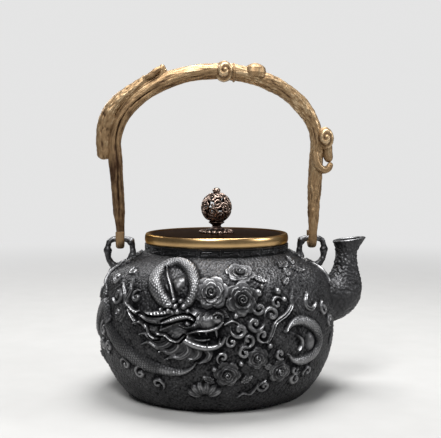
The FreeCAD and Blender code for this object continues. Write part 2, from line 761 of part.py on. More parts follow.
ball_inside = ball_radius - named("ball_wall")
ball_flat = named("ball_flat_radius")
bead_seat = ball_centre + side_of(ball_radius, ball_flat)
ball_shell = turned(
    "ball_shell",
    [
        (bolt_hole, ball_centre - side_of(ball_radius, bolt_hole)), (ball_flat, bead_seat),
        (bolt_hole, bead_seat), (bolt_hole, ball_centre + side_of(ball_inside, bolt_hole)),
        (bolt_hole, ball_centre - side_of(ball_inside, bolt_hole)),
    ],
    {0: (ball_radius, 1), 3: (ball_inside, -1)},
)
piercings = []
for level, tilt in enumerate(PIERCING_TILTS):
    for step in range(PIERCINGS_ROUND):
        heading = 360.0 * (step + 0.5 * (level % 2)) / PIERCINGS_ROUND
        outward = Rotation(Vector(0, 0, 1), heading).multVec(
            Vector(math.cos(math.radians(tilt)), 0, math.sin(math.radians(tilt)))
        )
        spin = Rotation(Vector(0, 0, 1), outward)
        start = ball_inside * PIERCING_START
        piercings.append(primitive(
            "Cylinder", f"piercing_{level}_{step}",
            (start * outward.x, start * outward.y, ball_centre + start * outward.z),
            (*spin.Axis, math.degrees(spin.Angle)),
            Radius=named("piercing_width") / 2, Height=ball_radius,
        ))
knob_ball = boolean("Cut", "knob_ball", ball_shell, gathered("piercings", piercings))

washer_foot = lid_under - named("washer_thickness")
nut_foot = washer_foot - named("nut_thickness")
bolt_radius = named("bolt_diameter") / 2
bead = named("bead_radius")
bead_top = bead_seat + named("bead_height")
knob_bolt = turned(
    "knob_bolt",
    [
        (ZERO, nut_foot - named("bolt_end")), (bolt_radius, nut_foot - named("bolt_end")),
        (bolt_radius, bead_seat), (bead, bead_seat), (bead, bead_top - bead), (ZERO, bead_top),
    ],
    {4: (bead, 1)},
)
knob_washer = turned("knob_washer", [
    (bolt_hole, washer_foot), (named("washer_radius"), washer_foot),
    (named("washer_radius"), lid_under), (bolt_hole, lid_under),
])
nut_block = primitive(
    "Prism", "nut_block", (ZERO, ZERO, nut_foot),
    Circumradius=named("nut_radius"), Height=named("nut_thickness"),
)
nut_hole = primitive(
    "Cylinder", "nut_hole", (ZERO, ZERO, nut_foot), Radius=bolt_hole, Height=named("nut_thickness"),
)
knob_nut = boolean("Cut", "knob_nut", nut_block, nut_hole)


# Checks and files

PIECES = (
    pot_body, spout, front_lug, rear_lug, bail, lid_plate, lid_collar,
    knob_rosette, knob_stem, knob_ball, knob_bolt, knob_washer, knob_nut,
)

doc.recompute()
for item in doc.Objects:
    if "Invalid" in item.State or "Error" in item.State:
        raise RuntimeError(f"{item.Label} failed: {item.State}")
os.makedirs("parts", exist_ok=True)
for piece in PIECES:
    shape = piece.Shape
    if shape.isNull() or not shape.isValid():
        raise RuntimeError(f"{piece.Label} has no valid shape")
    print(f"{piece.Label}: {len(shape.Solids)} solid, {shape.Volume / 1000.0:.2f} cm3")
for piece in PIECES:
    piece.Shape.exportStep(f"parts/{piece.Label}.step")
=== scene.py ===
"""Dresses a squat cast iron kettle.

It has a raised dragon among flowers, a brass branch for a bail, and a flat lid with a pierced knob.
"""

import json
import logging
import math
from collections.abc import Callable
from dataclasses import dataclass
from enum import Enum

import bpy
import numpy as np
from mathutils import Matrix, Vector


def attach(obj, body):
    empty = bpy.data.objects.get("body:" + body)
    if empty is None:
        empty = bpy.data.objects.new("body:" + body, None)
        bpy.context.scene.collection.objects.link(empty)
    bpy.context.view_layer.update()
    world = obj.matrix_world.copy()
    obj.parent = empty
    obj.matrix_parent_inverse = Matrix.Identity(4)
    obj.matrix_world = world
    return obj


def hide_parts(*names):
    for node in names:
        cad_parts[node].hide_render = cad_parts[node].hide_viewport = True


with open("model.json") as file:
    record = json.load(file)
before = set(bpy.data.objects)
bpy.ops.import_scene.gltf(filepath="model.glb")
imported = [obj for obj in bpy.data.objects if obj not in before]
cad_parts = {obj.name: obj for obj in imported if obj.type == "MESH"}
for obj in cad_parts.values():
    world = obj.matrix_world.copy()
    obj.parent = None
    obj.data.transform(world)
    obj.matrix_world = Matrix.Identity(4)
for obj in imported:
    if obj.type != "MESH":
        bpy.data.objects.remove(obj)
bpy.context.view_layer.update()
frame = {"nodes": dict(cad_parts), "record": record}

Array = np.ndarray
StripShape = Callable[[Array, Array, Array], Array]
SpotShape = Callable[[Array, Array], Array]
MM = 0.001
TAU = 2.0 * math.pi
LOG = logging.getLogger("kettle")


class Body(Enum):
    """The bodies of the frame that pieces ride on."""

    KETTLE = "kettle"
    BAIL = "bail"
    LID = "lid"


class Slot(Enum):
    """The material slots of the record."""

    IRON = "iron"
    BRANCH = "antique_brass"
    LID = "lid_brass"
    KNOB = "dark_bronze"
    PLAIN = "plain_brass"


# Surfaces


@dataclass
class Sheet:
    """A closed surface on a grid whose columns run round and meet.

    Attributes:
        points: Rows by columns by three, in millimetres.
        loop: Whether the last row meets the first; otherwise a point closes each end row.
        height: Rows by columns, from 0 in a hollow to 1 on a ridge; it picks the colour, and in places it is
            painted shade and highlight.
    """

    points: Array
    loop: bool
    height: Array | float

    def cut(self) -> tuple[Array, Array, Array, Array]:
        """Turns the grid into vertices and faces that point outwards.

        Returns:
            Vertices, their heights, quads and triangles.
        """
        rows, columns = self.points.shape[:2]
        index = np.arange(rows * columns).reshape(rows, columns)
        low = index if self.loop else index[:-1]
        high = np.roll(index, -1, 0) if self.loop else index[1:]
        quads = np.stack([low, np.roll(low, -1, 1), np.roll(high, -1, 1), high], -1).reshape(-1, 4)
        points = self.points.reshape(-1, 3)
        height = np.broadcast_to(self.height, (rows, columns)).reshape(-1)
        fans = np.zeros((0, 3), dtype=int)
        if not self.loop:
            points = np.vstack([points, self.points[[0, -1]].mean(1)])
            height = np.append(height, [height[:columns].mean(), height[-columns:].mean()])
            poles = np.repeat([[rows * columns], [rows * columns + 1]], columns, 1)
            first = np.stack([poles[0], np.roll(index[0], -1), index[0]], -1)
            last = np.stack([poles[1], index[-1], np.roll(index[-1], -1)], -1)
            fans = np.vstack([first, last])
        corners = points[np.vstack([quads[:, :3], quads[:, [0, 2, 3]], fans])]
        volume = np.einsum("ij,ij->", corners[:, 0], np.cross(corners[:, 1], corners[:, 2]))
        if volume < 0.0:
            quads, fans = quads[:, ::-1], fans[:, ::-1]
        return points, height, quads, fans


def add_piece(
    name: str, sheets: list[Sheet], body: Body, material: bpy.types.Material,
    replaces: tuple[str, ...] = (), crease: float = 55.0,
) -> None:
    """Puts sheets into one mesh object that rides on a body.

    Args:
        name: Name of the piece.
        sheets: The closed surfaces that it is made of.
        body: The body that it moves with.
        material: Its material.
        replaces: Nodes of the frame that it stands for.
        crease: Angle in degrees from which an edge is sharp.
    """
    points, heights, quads, fans, base = [], [], [], [], 0
    for sheet in sheets:
        spots, height, four, three = sheet.cut()
        points.append(spots)
        heights.append(height)
        quads.append(four + base)
        fans.append(three + base)
        base += len(spots)
    four, three = np.vstack(quads), np.vstack(fans)
    loops = np.concatenate([four.ravel(), three.ravel()])
    totals = np.concatenate([np.full(len(four), 4), np.full(len(three), 3)])
    mesh = bpy.data.meshes.new(name)
    mesh.vertices.add(base)
    mesh.vertices.foreach_set("co", (np.vstack(points) * MM).astype(np.float32).ravel())
    mesh.loops.add(len(loops))
    mesh.loops.foreach_set("vertex_index", loops.astype(np.int32))
    mesh.polygons.add(len(totals))
    mesh.polygons.foreach_set("loop_start", (np.cumsum(totals) - totals).astype(np.int32))
    mesh.polygons.foreach_set("loop_total", totals.astype(np.int32))
    mesh.polygons.foreach_set("use_smooth", np.ones(len(totals), dtype=bool))
    # The ridge value picks the colour; in places it is painted shade in hollows and painted highlight on
    # tops.
    mesh.attributes.new("height", "FLOAT", "POINT").data.foreach_set(
        "value", np.concatenate(heights).astype(np.float32)
    )
    mesh.update(calc_edges=True)
    mesh.validate()
    mesh.set_sharp_from_angle(angle=math.radians(crease))
    mesh.materials.append(material)
    piece = bpy.data.objects.new(name, mesh)
    bpy.context.scene.collection.objects.link(piece)
    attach(piece, body.value)
    if replaces:
        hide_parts(*replaces)
    LOG.info("%s: %d faces on %s", name, len(totals), body.value)


def hashed(cells: Array, seed: int) -> Array:
    """A steady number from 0 to 1 for each whole-number cell, by multiplying and shifting its bits."""
    primes = np.array([374761393, 668265263, 2147483629], dtype=np.uint64)
    mixed = (cells.astype(np.int64).astype(np.uint64) * primes).sum(-1) + np.uint64(974711 * (seed + 1))
    mixed ^= mixed >> np.uint64(13)
    mixed *= np.uint64(1274126177)
    mixed ^= mixed >> np.uint64(16)
    return (mixed & np.uint64(0xFFFFFF)).astype(float) / 0xFFFFFF


def soft_noise(points: Array, size: float, seed: int = 0) -> Array:
    """Smooth noise from 0 to 1: the hashed corners of a cubic lattice, blended by an S-shaped share.

    Args:
        points: Places, the last axis of three.
        size: Edge of a lattice cell.
        seed: Which noise it is.

    Returns:
        One value per place.
    """
    cell = np.floor(points / size)
    share = points / size - cell
    share = share * share * (3.0 - 2.0 * share)
    total = np.zeros(points.shape[:-1])
    for corner in np.ndindex(2, 2, 2):
        weight = np.prod(np.where(np.array(corner) == 1, share, 1.0 - share), axis=-1)
        total += weight * hashed(cell + np.array(corner), seed)
    return total


def pebbles(points: Array, size: float, seed: int = 0) -> Array:
    """Distance to the nearest of points strewn one per lattice cell, as a share of the cell's edge.

    Args:
        points: Places, the last axis of three.
        size: Edge of a lattice cell.
        seed: Which noise it is.

    Returns:
        One value per place, 0 in the middle of a pebble.
    """
    cell = np.floor(points / size)
    nearest = np.full(points.shape[:-1], 9.0)
    for step in np.ndindex(3, 3, 3):
        corner = cell + np.array(step) - 1.0
        strewn = corner + np.stack([hashed(corner, seed + axis) for axis in range(3)], -1)
        nearest = np.minimum(nearest, ((points / size - strewn) ** 2).sum(-1))
    return np.sqrt(nearest)


def ramp(values: Array, low: float, high: float) -> Array:
    """An S-shaped step from 0 at low to 1 at high."""
    share = np.clip((values - low) / (high - low), 0.0, 1.0)
    return share * share * (3.0 - 2.0 * share)


def rounding(share: Array, start: float, span: float) -> Array:
    """A quarter ellipse that falls from 1 at a start to 0 a span later."""
    return np.sqrt(np.clip(1.0 - ((share - start) / span).clip(0.0, 1.0) ** 2, 0.0, 1.0))


def lengths(path: Array) -> Array:
    """Lengths along a path of points up to each of them."""
    return np.append(0.0, np.cumsum(np.linalg.norm(np.diff(path, axis=0), axis=1)))


def headings(path: Array) -> Array:
    """Unit vectors along a path at each of its points."""
    ahead = np.gradient(path, axis=0)
    return ahead / np.linalg.norm(ahead, axis=1, keepdims=True)


def even(path: Array, count: int) -> Array:
    """Points at equal steps along a path of points, by straight shares of its length."""
    along = lengths(path)
    wanted = np.linspace(0.0, along[-1], count)
    return np.stack([np.interp(wanted, along, axis) for axis in path.T], -1)


def spline(points: list, count: int) -> Array:
    """A curve through points: each span is a cubic whose end slopes join the two neighbours, evenly stepped.

    Args:
        points: The points that it passes.
        count: How many points come back.

    Returns:
        Points along the curve.
    """
    marks = np.asarray(points, float)
    marks = np.concatenate([2.0 * marks[:1] - marks[1:2], marks, 2.0 * marks[-1:] - marks[-2:-1]])
    spans = len(marks) - 3
    share = np.linspace(0.0, spans, 12 * spans + 1)
    start = np.minimum(share.astype(int), spans - 1)
    share = (share - start)[:, None]
    before, here, there, after = (marks[start + step] for step in range(4))
    curve = 0.5 * (
        2.0 * here + (there - before) * share
        + (2.0 * before - 5.0 * here + 4.0 * there - after) * share ** 2
        + (3.0 * here - before - 3.0 * there + after) * share ** 3
    )
    return even(curve, count)


def tube(path: Array, side: Array, across: Array, deep: Array, turns: Array) -> Array:
    """An oval section carried along a path.

    The section at a path point is the side vector times across times a cosine, plus the vector square to both
    side and path times deep times a sine.

    Args:
        path: Points along the middle.
        side: One vector per point, roughly square to the path.
        across: Half width along side, per row or per row and column.
        deep: Half width square to it, per row or per row and column.
        turns: Angles round the section.

    Returns:
        Rows by columns by three.
    """
    ahead = headings(path)
    side = side - (side * ahead).sum(1, keepdims=True) * ahead
    side /= np.linalg.norm(side, axis=1, keepdims=True)
    other = np.cross(ahead, side)
    across = np.asarray(across).reshape(len(path), -1)
    deep = np.asarray(deep).reshape(len(path), -1)
    return (
        path[:, None]
        + side[:, None] * (across * np.cos(turns))[..., None]
        + other[:, None] * (deep * np.sin(turns))[..., None]
    )


def round_turns(columns: int) -> Array:
    """Angles of evenly spread columns round a section."""
    return np.arange(columns) * (TAU / columns)


def lathe(outline: list, columns: int, loop: bool, height: Array | float) -> Sheet:
    """A surface turned about the upright axis: each outline point of (radius, height) becomes a ring.

    Args:
        outline: Points of (radius, height above the base).
        columns: How many points a ring has.
        loop: Whether the outline closes on itself, as round a bore.
        height: Ridge values of the outline's points.

    Returns:
        The turned sheet.
    """
    marks = np.asarray(outline, float)
    turns = round_turns(columns)
    points = np.stack([
        marks[:, :1] * np.cos(turns), marks[:, :1] * np.sin(turns), marks[:, 1:] + 0.0 * turns,
    ], -1)
    shade = height if np.isscalar(height) else np.asarray(height)[:, None]
    return Sheet(points, loop, shade)


def arc(centre: tuple, radius: float, start: float, end: float, count: int) -> Array:
    """Points on a circle's arc from a start to an end angle in degrees."""
    turn = np.radians(np.linspace(start, end, count))
    return np.stack([centre[0] + radius * np.cos(turn), centre[1] + radius * np.sin(turn)], -1)


# Finishes


def node_group(name: str, inputs: dict, outputs: dict) -> tuple[bpy.types.NodeTree, object, object]:
    """An empty shader node group with named sockets.

    Args:
        name: Name of the group.
        inputs: Socket names and their starting values.
        outputs: Socket names and their socket types.

    Returns:
        The group, its input node and its output node.
    """
    group = bpy.data.node_groups.new(name, "ShaderNodeTree")
    for key, value in inputs.items():
        kind = "NodeSocketFloat" if isinstance(value, float) else "NodeSocketColor"
        socket = group.interface.new_socket(key, in_out="INPUT", socket_type=kind)
        socket.default_value = value
    for key, kind in outputs.items():
        group.interface.new_socket(key, in_out="OUTPUT", socket_type=kind)
    return group, group.nodes.new("NodeGroupInput"), group.nodes.new("NodeGroupOutput")


def node(
    tree: bpy.types.NodeTree, kind: str, links: dict | None = None, **settings: object,
) -> bpy.types.Node:
    """Adds a shader node.

    Args:
        tree: Where it goes.
        kind: The node's type without its prefix.
        links: What feeds its inputs: a socket is linked, anything else is set.
        settings: Properties of the node.

    Returns:
        The node.
    """
    made = tree.nodes.new(f"ShaderNode{kind}")
    for key, value in settings.items():
        setattr(made, key, value)
    for key, value in (links or {}).items():
        if isinstance(value, bpy.types.NodeSocket):
            tree.links.new(value, made.inputs[key])
        else:
            made.inputs[key].default_value = value
    return made


def maths(tree: bpy.types.NodeTree, operation: str, first: object, second: object) -> bpy.types.NodeSocket:
    """The output of a Math node of two inputs."""
    return node(tree, "Math", {0: first, 1: second}, operation=operation).outputs[0]


def blend(tree: bpy.types.NodeTree, share: object, first: object, second: object) -> bpy.types.NodeSocket:
    """The colour between two colours."""
    return node(tree, "Mix", {0: share, 6: first, 7: second}, data_type="RGBA").outputs[2]


def colour(red: float, green: float, blue: float) -> tuple[float, float, float, float]:
    """An opaque colour."""
    return (red, green, blue, 1.0)


def grain_group() -> bpy.types.NodeTree:
    """Fine cast grain: a bump height and a slow blotchy shade, from noise at two sizes.

    Returns:
        A group with a Size input and the outputs Height and Shade.
    """
    group, entry, leave = node_group(
        "cast_grain", {"Size": 900.0}, {"Height": "NodeSocketFloat", "Shade": "NodeSocketFloat"}
    )
    place = node(group, "TexCoord").outputs["Object"]
    size = entry.outputs["Size"]
    fine = node(group, "TexNoise", {"Vector": place, "Scale": size, "Detail": 4.0, "Roughness": 0.62})
    grit = node(group, "TexVoronoi", {"Vector": place, "Scale": maths(group, "MULTIPLY", size, 0.7)})
    height = maths(group, "ADD", fine.outputs[0], maths(group, "MULTIPLY", grit.outputs["Distance"], -0.6))
    group.links.new(height, leave.inputs["Height"])
    slow = node(
        group, "TexNoise",
        {"Vector": place, "Scale": maths(group, "MULTIPLY", size, 0.06), "Detail": 5.0, "Roughness": 0.6},
    )
    group.links.new(slow.outputs[0], leave.inputs["Shade"])
    return group


def patina_and_shade_group() -> bpy.types.NodeTree:
    """Ageing and painted light on metal: a colour and a roughness that run from hollow over face to ridge,
    broken up by a shade.

    Returns:
        A group with the inputs Relief, Shade, Hollow, Face, Ridge, Dull and Bright and two outputs.
    """
    group, entry, leave = node_group(
        "patina_and_shade",
        {
            "Relief": 0.5, "Shade": 0.5, "Hollow": colour(0, 0, 0), "Face": colour(0.1, 0.1, 0.1),
            "Ridge": colour(0.3, 0.3, 0.3), "Dull": 0.6, "Bright": 0.3,
        },
        {"Colour": "NodeSocketColor", "Roughness": "NodeSocketFloat"},
    )
    # Painted shade and highlight: the hollow colour stands partly for shade in the hollows, the ridge colour
    # partly for a highlight on the tops.
    wander = maths(group, "MULTIPLY", maths(group, "SUBTRACT", entry.outputs["Shade"], 0.5), 0.9)
    relief = maths(group, "ADD", entry.outputs["Relief"], wander)
    smooth = {"clamp": True, "interpolation_type": "SMOOTHSTEP"}
    low = node(group, "MapRange", {"Value": relief, 1: 0.0, 2: 0.5}, **smooth)
    high = node(group, "MapRange", {"Value": relief, 1: 0.5, 2: 1.05}, **smooth)
    base = blend(group, low.outputs[0], entry.outputs["Hollow"], entry.outputs["Face"])
    group.links.new(blend(group, high.outputs[0], base, entry.outputs["Ridge"]), leave.inputs["Colour"])
    rough = node(
        group, "MapRange",
        {"Value": relief, 1: 0.1, 2: 1.0, 3: entry.outputs["Dull"], 4: entry.outputs["Bright"]}, clamp=True,
    )
    group.links.new(rough.outputs[0], leave.inputs["Roughness"])
    return group


@dataclass(frozen=True)
class Finish:
    """An aged metal surface, whose dark hollows and light ridges are partly painted shade and painted
    highlight.

    Attributes:
        name: Name of the material.
        hollow: Colour in the hollows, partly tarnish and partly painted shade.
        face: Colour on plain faces.
        ridge: Colour on worn ridges, partly a painted highlight.
        dull: Roughness in the hollows.
        bright: Roughness on the ridges.
        metal: How far it mirrors as a metal.
        grain: Grains per metre.
        bump: Depth of the grain in millimetres.
        edge: Tint of what it mirrors at a flat angle.
    """

    name: str
    hollow: tuple
    face: tuple
    ridge: tuple
    dull: float
    bright: float
    metal: float
    grain: float
    bump: float
    edge: tuple = (1.0, 1.0, 1.0, 1.0)

    def material(self, grain: bpy.types.NodeTree, patina_and_shade: bpy.types.NodeTree) -> bpy.types.Material:
        """Builds the material from the two shared groups.

        Args:
            grain: The cast grain group.
            patina_and_shade: The group of ageing and painted light.

        Returns:
            The material.
        """
        made = bpy.data.materials.new(self.name)
        made.use_nodes = True
        tree = made.node_tree
        shader = tree.nodes["Principled BSDF"]
        relief = node(tree, "Attribute", attribute_name="height").outputs["Fac"]
        speckle = node(tree, "Group", {"Size": self.grain}, node_tree=grain)
        aged_and_shaded = node(tree, "Group", {
            "Relief": relief, "Shade": speckle.outputs["Shade"], "Hollow": self.hollow, "Face": self.face,
            "Ridge": self.ridge, "Dull": self.dull, "Bright": self.bright,
        }, node_tree=patina_and_shade)
        bump = node(tree, "Bump", {
            "Height": speckle.outputs["Height"], "Strength": 1.0, "Distance": self.bump * MM,
        })
        tree.links.new(aged_and_shaded.outputs["Colour"], shader.inputs["Base Color"])
        tree.links.new(aged_and_shaded.outputs["Roughness"], shader.inputs["Roughness"])
        tree.links.new(bump.outputs[0], shader.inputs["Normal"])
        shader.inputs["Metallic"].default_value = self.metal
        shader.inputs["Specular Tint"].default_value = self.edge
        return made


IRON = Finish(
    "black_iron", colour(0.008, 0.008, 0.009), colour(0.052, 0.052, 0.054), colour(0.23, 0.23, 0.235),
    dull=0.58, bright=0.33, metal=0.95, grain=1100.0, bump=0.06,
)
BRANCH = Finish(
    "aged_brass", colour(0.050, 0.022, 0.009), colour(0.285, 0.183, 0.093), colour(0.54, 0.40, 0.24),
    dull=0.60, bright=0.38, metal=0.75, grain=1500.0, bump=0.05,
)
LID = Finish(
    "polished_lid", colour(0.040, 0.023, 0.014), colour(0.22, 0.12, 0.05), colour(0.60, 0.40, 0.19),
    dull=0.28, bright=0.29, metal=1.0, grain=700.0, bump=0.004, edge=colour(0.38, 0.25, 0.18),
)
BRONZE = Finish(
    "dark_bronze", colour(0.012, 0.008, 0.007), colour(0.065, 0.043, 0.035), colour(0.27, 0.20, 0.165),
    dull=0.55, bright=0.26, metal=1.0, grain=1600.0, bump=0.02,
)
PLAIN = Finish(
    "plain_brass", colour(0.2, 0.13, 0.06), colour(0.42, 0.28, 0.12), colour(0.6, 0.43, 0.2),
    dull=0.45, bright=0.3, metal=1.0, grain=1400.0, bump=0.02,
)


# The pot


@dataclass
class PotForm:
    """The pot's outside: arcs and a straight shoulder, turned about the upright axis.

    A place on it is a turn (0 at the front, a quarter turn at the spout), a run (length along the outline
    from the edge of the base) and a rise (distance outwards, square to the surface).

    Attributes:
        belly: Radius of the belly.
        belly_height: Height of its widest place.
        lower_curve: Radius of the arc below it.
        upper_curve: Radius of the arc above it.
        shoulder_curve: Radius of the shoulder's arc.
        shoulder_angle: Angle in degrees at which the shoulder's arc begins.
        base_round: Radius of the base's rounded edge.
        neck: Radius of the neck.
        neck_foot: Height at which the neck begins.
        rim: Height of the rim.
    """

    belly: float = 78.0
    belly_height: float = 45.0
    lower_curve: float = 62.0
    upper_curve: float = 110.0
    shoulder_curve: float = 13.0
    shoulder_angle: float = 15.5
    base_round: float = 8.0
    neck: float = 47.0
    neck_foot: float = 94.0
    rim: float = 101.0

    def __post_init__(self) -> None:
        """Lays out the outline as points with their runs and normals."""
        drop = self.belly_height - self.base_round
        out = math.sqrt((self.lower_curve - self.base_round) ** 2 - drop ** 2)
        slope = -math.degrees(math.atan2(drop, out))
        low = (self.belly - self.lower_curve, self.belly_height)
        high = (self.belly - self.upper_curve, self.belly_height)
        lean, reach = math.radians(self.shoulder_angle), self.upper_curve - self.shoulder_curve
        turn = (high[0] + reach * math.cos(lean), high[1] + reach * math.sin(lean))
        away = (self.neck - turn[0], self.neck_foot - turn[1])
        lead = math.acos(self.shoulder_curve / math.hypot(*away))
        touch = math.degrees(math.atan2(away[1], away[0]) - lead)
        corners = np.concatenate([
            arc((low[0] + out, self.base_round), self.base_round, -90.0, slope, 40),
            arc(low, self.lower_curve, slope, 0.0, 120)[1:],
            arc(high, self.upper_curve, 0.0, self.shoulder_angle, 80)[1:],
            arc(turn, self.shoulder_curve, self.shoulder_angle, touch, 60)[1:],
            [(self.neck, self.neck_foot), (self.neck, self.rim)],
        ])
        self.outline = even(corners, 1800)
        self.runs = lengths(self.outline)
        ahead = headings(self.outline)
        self.normals = np.stack([ahead[:, 1], -ahead[:, 0]], -1)

    def radius_at(self, run: Array) -> Array:
        """Radius of the plain iron at a run."""
        return np.interp(run, self.runs, self.outline[:, 0])

    def run_at(self, height: Array) -> Array:
        """Run at a height above the base."""
        return np.interp(height, self.outline[:, 1], self.runs)

    def place(self, turn: Array, run: Array, rise: Array | float) -> Array:
        """Points at a turn, a run and a rise.

        Args:
            turn: Angles from the front in radians.
            run: Lengths along the outline.
            rise: Distances outwards from the plain iron.

        Returns:
            Points, the last axis of three.
        """
        out, up = (np.interp(run, self.runs, axis) for axis in self.normals.T)
        radius = self.radius_at(run) + rise * out
        height = np.interp(run, self.runs, self.outline[:, 1]) + rise * up
        return np.stack(np.broadcast_arrays(radius * np.sin(turn), -radius * np.cos(turn), height), -1)

    def pushed_out(self, points: Array, depth: float) -> Array:
        """Points that lie deeper in the iron than a depth, moved level outwards to that depth."""
        radius = np.hypot(points[..., 0], points[..., 1])
        least = np.interp(points[..., 2], self.outline[:, 1], self.outline[:, 0]) - depth
        grow = np.maximum(1.0, least / np.maximum(radius, 1e-6))
        return np.stack([points[..., 0] * grow, points[..., 1] * grow, points[..., 2]], -1)


# What a raised form and a carved form say where they have no height.
OUTSIDE = -1.0
UNCUT = -9.0


def crown(share: Array) -> Array:
    """A soft hump over -1 to 1: one less a power of the distance from the middle."""
    return 1.0 - np.minimum(np.abs(share), 1.0) ** 2.4


@dataclass
class ReliefField:
    """Raised ornament as heights over the pot's plain iron, on a grid of runs by turns.

    Attributes:
        form: The pot that carries it.
        turns: Turns of the grid's columns.
        runs: Runs of the grid's rows.
        middle: Direction of the ornament's middle from the front, in degrees.
    """

    form: PotForm
    turns: Array
    runs: Array
    middle: float = -3.0

    def __post_init__(self) -> None:
        """Lays out the plain surface."""
        self.base = self.form.place(self.turns, self.runs[:, None], 0.0)
        self.rise = np.zeros(self.base.shape[:2])

    def marks(self, spots: list) -> Array:
        """Turns and runs of spots given in degrees from the ornament's middle and heights above the base."""
        spots = np.asarray(spots, float).reshape(-1, 2)
        return np.stack([np.radians(spots[:, 0] + self.middle), self.form.run_at(spots[:, 1])], -1)

    def near(self, marks: Array, reach: float) -> tuple[Array, Array]:
        """The part of the grid within a reach of marks, as an index."""
        middle = (marks[:, 0].min() + marks[:, 0].max()) / 2.0
        wide = np.ptp(marks[:, 0]) / 2.0 + reach / 45.0
        columns = np.flatnonzero(np.abs((self.turns - middle + math.pi) % TAU - math.pi) < wide)
        low, high = marks[:, 1].min() - reach, marks[:, 1].max() + reach
        return np.ix_(np.flatnonzero((self.runs > low) & (self.runs < high)), columns)

    def spot(
        self, place: tuple, reach: float, shape: SpotShape, spin: float = 0.0, carve: bool = False,
        soft: float = 0.0,
    ) -> None:
        """Raises or carves a form round one place.

        Args:
            place: Degrees from the middle and height above the base.
            reach: How far the form reaches.
            shape: Height from the distances to the right and up, below zero outside the form.
            spin: Turn of the form in degrees.
            carve: Whether the form is cut down to its height instead.
            soft: Difference of height within which the form flows into what lies there.
        """
        mark = self.marks([place])
        window = self.near(mark, reach)
        turn, run = mark[0]
        right = np.array([math.cos(turn), math.sin(turn), 0.0])
        up = self.form.place(turn, run + 0.5, 0.0) - self.form.place(turn, run - 0.5, 0.0)
        away = self.base[window] - self.form.place(turn, run, 0.0)
        across, along = away @ right, away @ up
        cosine, sine = math.cos(math.radians(spin)), math.sin(math.radians(spin))
        rise = shape(across * cosine + along * sine, along * cosine - across * sine)
        now = self.rise[window]
        if carve:
            self.rise[window] = np.where(rise > UNCUT, np.minimum(now, rise), now)
        elif soft:
            share = np.clip(0.5 + 0.5 * (rise - now) / soft, 0.0, 1.0)
            self.rise[window] = now + (rise - now) * share + soft * share * (1.0 - share)
        else:
            self.rise[window] = np.maximum(now, rise)

    def ribbon(self, marks: Array, widths: tuple, shape: StripShape, groove: float = 0.0) -> None:
        """Raises a strip along a curve through marks.

        Args:
            marks: Turns and runs that the curve passes.
            widths: Half widths, evenly spread from start to end.
            shape: Height from the share across (-1 to 1), the length along and the share along.
            groove: Width beside the strip in which what lies below is cut away.
        """
        scale = np.array([self.form.radius_at(marks[:, 1].mean()), 1.0])
        track = spline(marks * scale, 40 * len(marks)) / scale
        path = self.form.place(track[:, 0], track[:, 1], 0.0)
        steps = lengths(path)
        ahead = headings(path)
        aside = np.cross(self.form.place(track[:, 0], track[:, 1], 1.0) - path, ahead)
        window = self.near(track, max(widths) + groove)
        ground = self.base[window].reshape(-1, 3)
        nearest = ((path ** 2).sum(1) - 2.0 * ground @ path.T).argmin(1)
        away = ground - path[nearest]
        along = steps[nearest] + (away * ahead[nearest]).sum(1)
        share = along / steps[-1]
        half = np.interp(share, np.linspace(0.0, 1.0, len(widths)), widths)
        across = (away * aside[nearest]).sum(1)
        ends = np.maximum(0.0, np.maximum(-along, along - steps[-1]))
        distance = np.hypot(across, 2.0 * ends)
        rise = np.where(distance < half, shape(across / half, along, share), OUTSIDE)
        now = self.rise[window]
        if groove:
            now = now * ramp(distance, half.max(), half.max() + groove).reshape(now.shape)
        self.rise[window] = np.maximum(now, rise.reshape(now.shape))


def ridge(height: float) -> StripShape:
    """A plain rounded strip of a height."""
    return lambda share, along, part: height * crown(share)


def twin(height: float) -> StripShape:
    """Two fine lines side by side on a low strip."""
    return lambda share, along, part: height * (
        0.35 * crown(share) + 0.65 * crown((np.abs(share) - 0.55) / 0.42)
    )


def ringed(height: float, pitch: float) -> StripShape:
    """A rounded strip with ring ridges across it."""
    return lambda share, along, part: crown(share) * (
        height + 0.28 * np.sin(TAU * (along + 1.2 * share) / pitch)
    )


def lock(height: float) -> StripShape:
    """A lock of hair: a rounded strip with three fine strands side by side."""
    return lambda share, along, part: height * crown(share) * (0.86 + 0.16 * np.cos(3.0 * math.pi * share))


def scaled(height: float, half: float, size: float) -> StripShape:
    """A rounded body strewn with bead-like scales in staggered rows.

    Args:
        height: Height of its back.
        half: Half width, in which the scales are laid out.
        size: Distance of two scales.

    Returns:
        The strip's height as a function of its shares.
    """
    def shape(share: Array, along: Array, part: Array) -> Array:
        """Back plus beads: a bead is a hump round the nearest point of a staggered lattice."""
        row = np.round(along / (0.87 * size))
        shift = share * half * 1.25 + 0.5 * size * (row % 2.0)
        bead = np.hypot(along - row * 0.87 * size, shift - size * np.round(shift / size)) / (0.56 * size)
        rim = ramp(np.abs(share), 0.8, 0.94)
        back = height * crown(share)
        return back + 0.5 * (1.0 - rim) * (crown(bead) - 0.5) + 0.25 * rim * (1.0 - np.abs(share))
    return shape


def lump(across: float, up: float, height: float) -> SpotShape:
    """An oval hump of two half widths and a height."""
    def shape(p: Array, q: Array) -> Array:
        """One less a power of the share of the way out, times the height."""
        far = np.hypot(p / across, q / up)
        return np.where(far < 1.0, height * (1.0 - np.minimum(far, 1.0) ** 2.2), OUTSIDE)
    return shape


def pit(across: float, up: float, height: float, sag: float = 0.0) -> SpotShape:
    """An oval pit of two half widths, cut down to a height, its middle line a parabola of some sag."""
    return lambda p, q: np.where(np.hypot(p / across, (q - sag * p * p) / up) < 1.0, height, UNCUT)


def swelling(across: float, up: float, height: float) -> SpotShape:
    """An oval dome of two half widths and a height that falls on below the ground outside."""
    return lambda p, q: np.maximum(height * (1.0 - np.hypot(p / across, q / up) ** 2.0), -4.0)


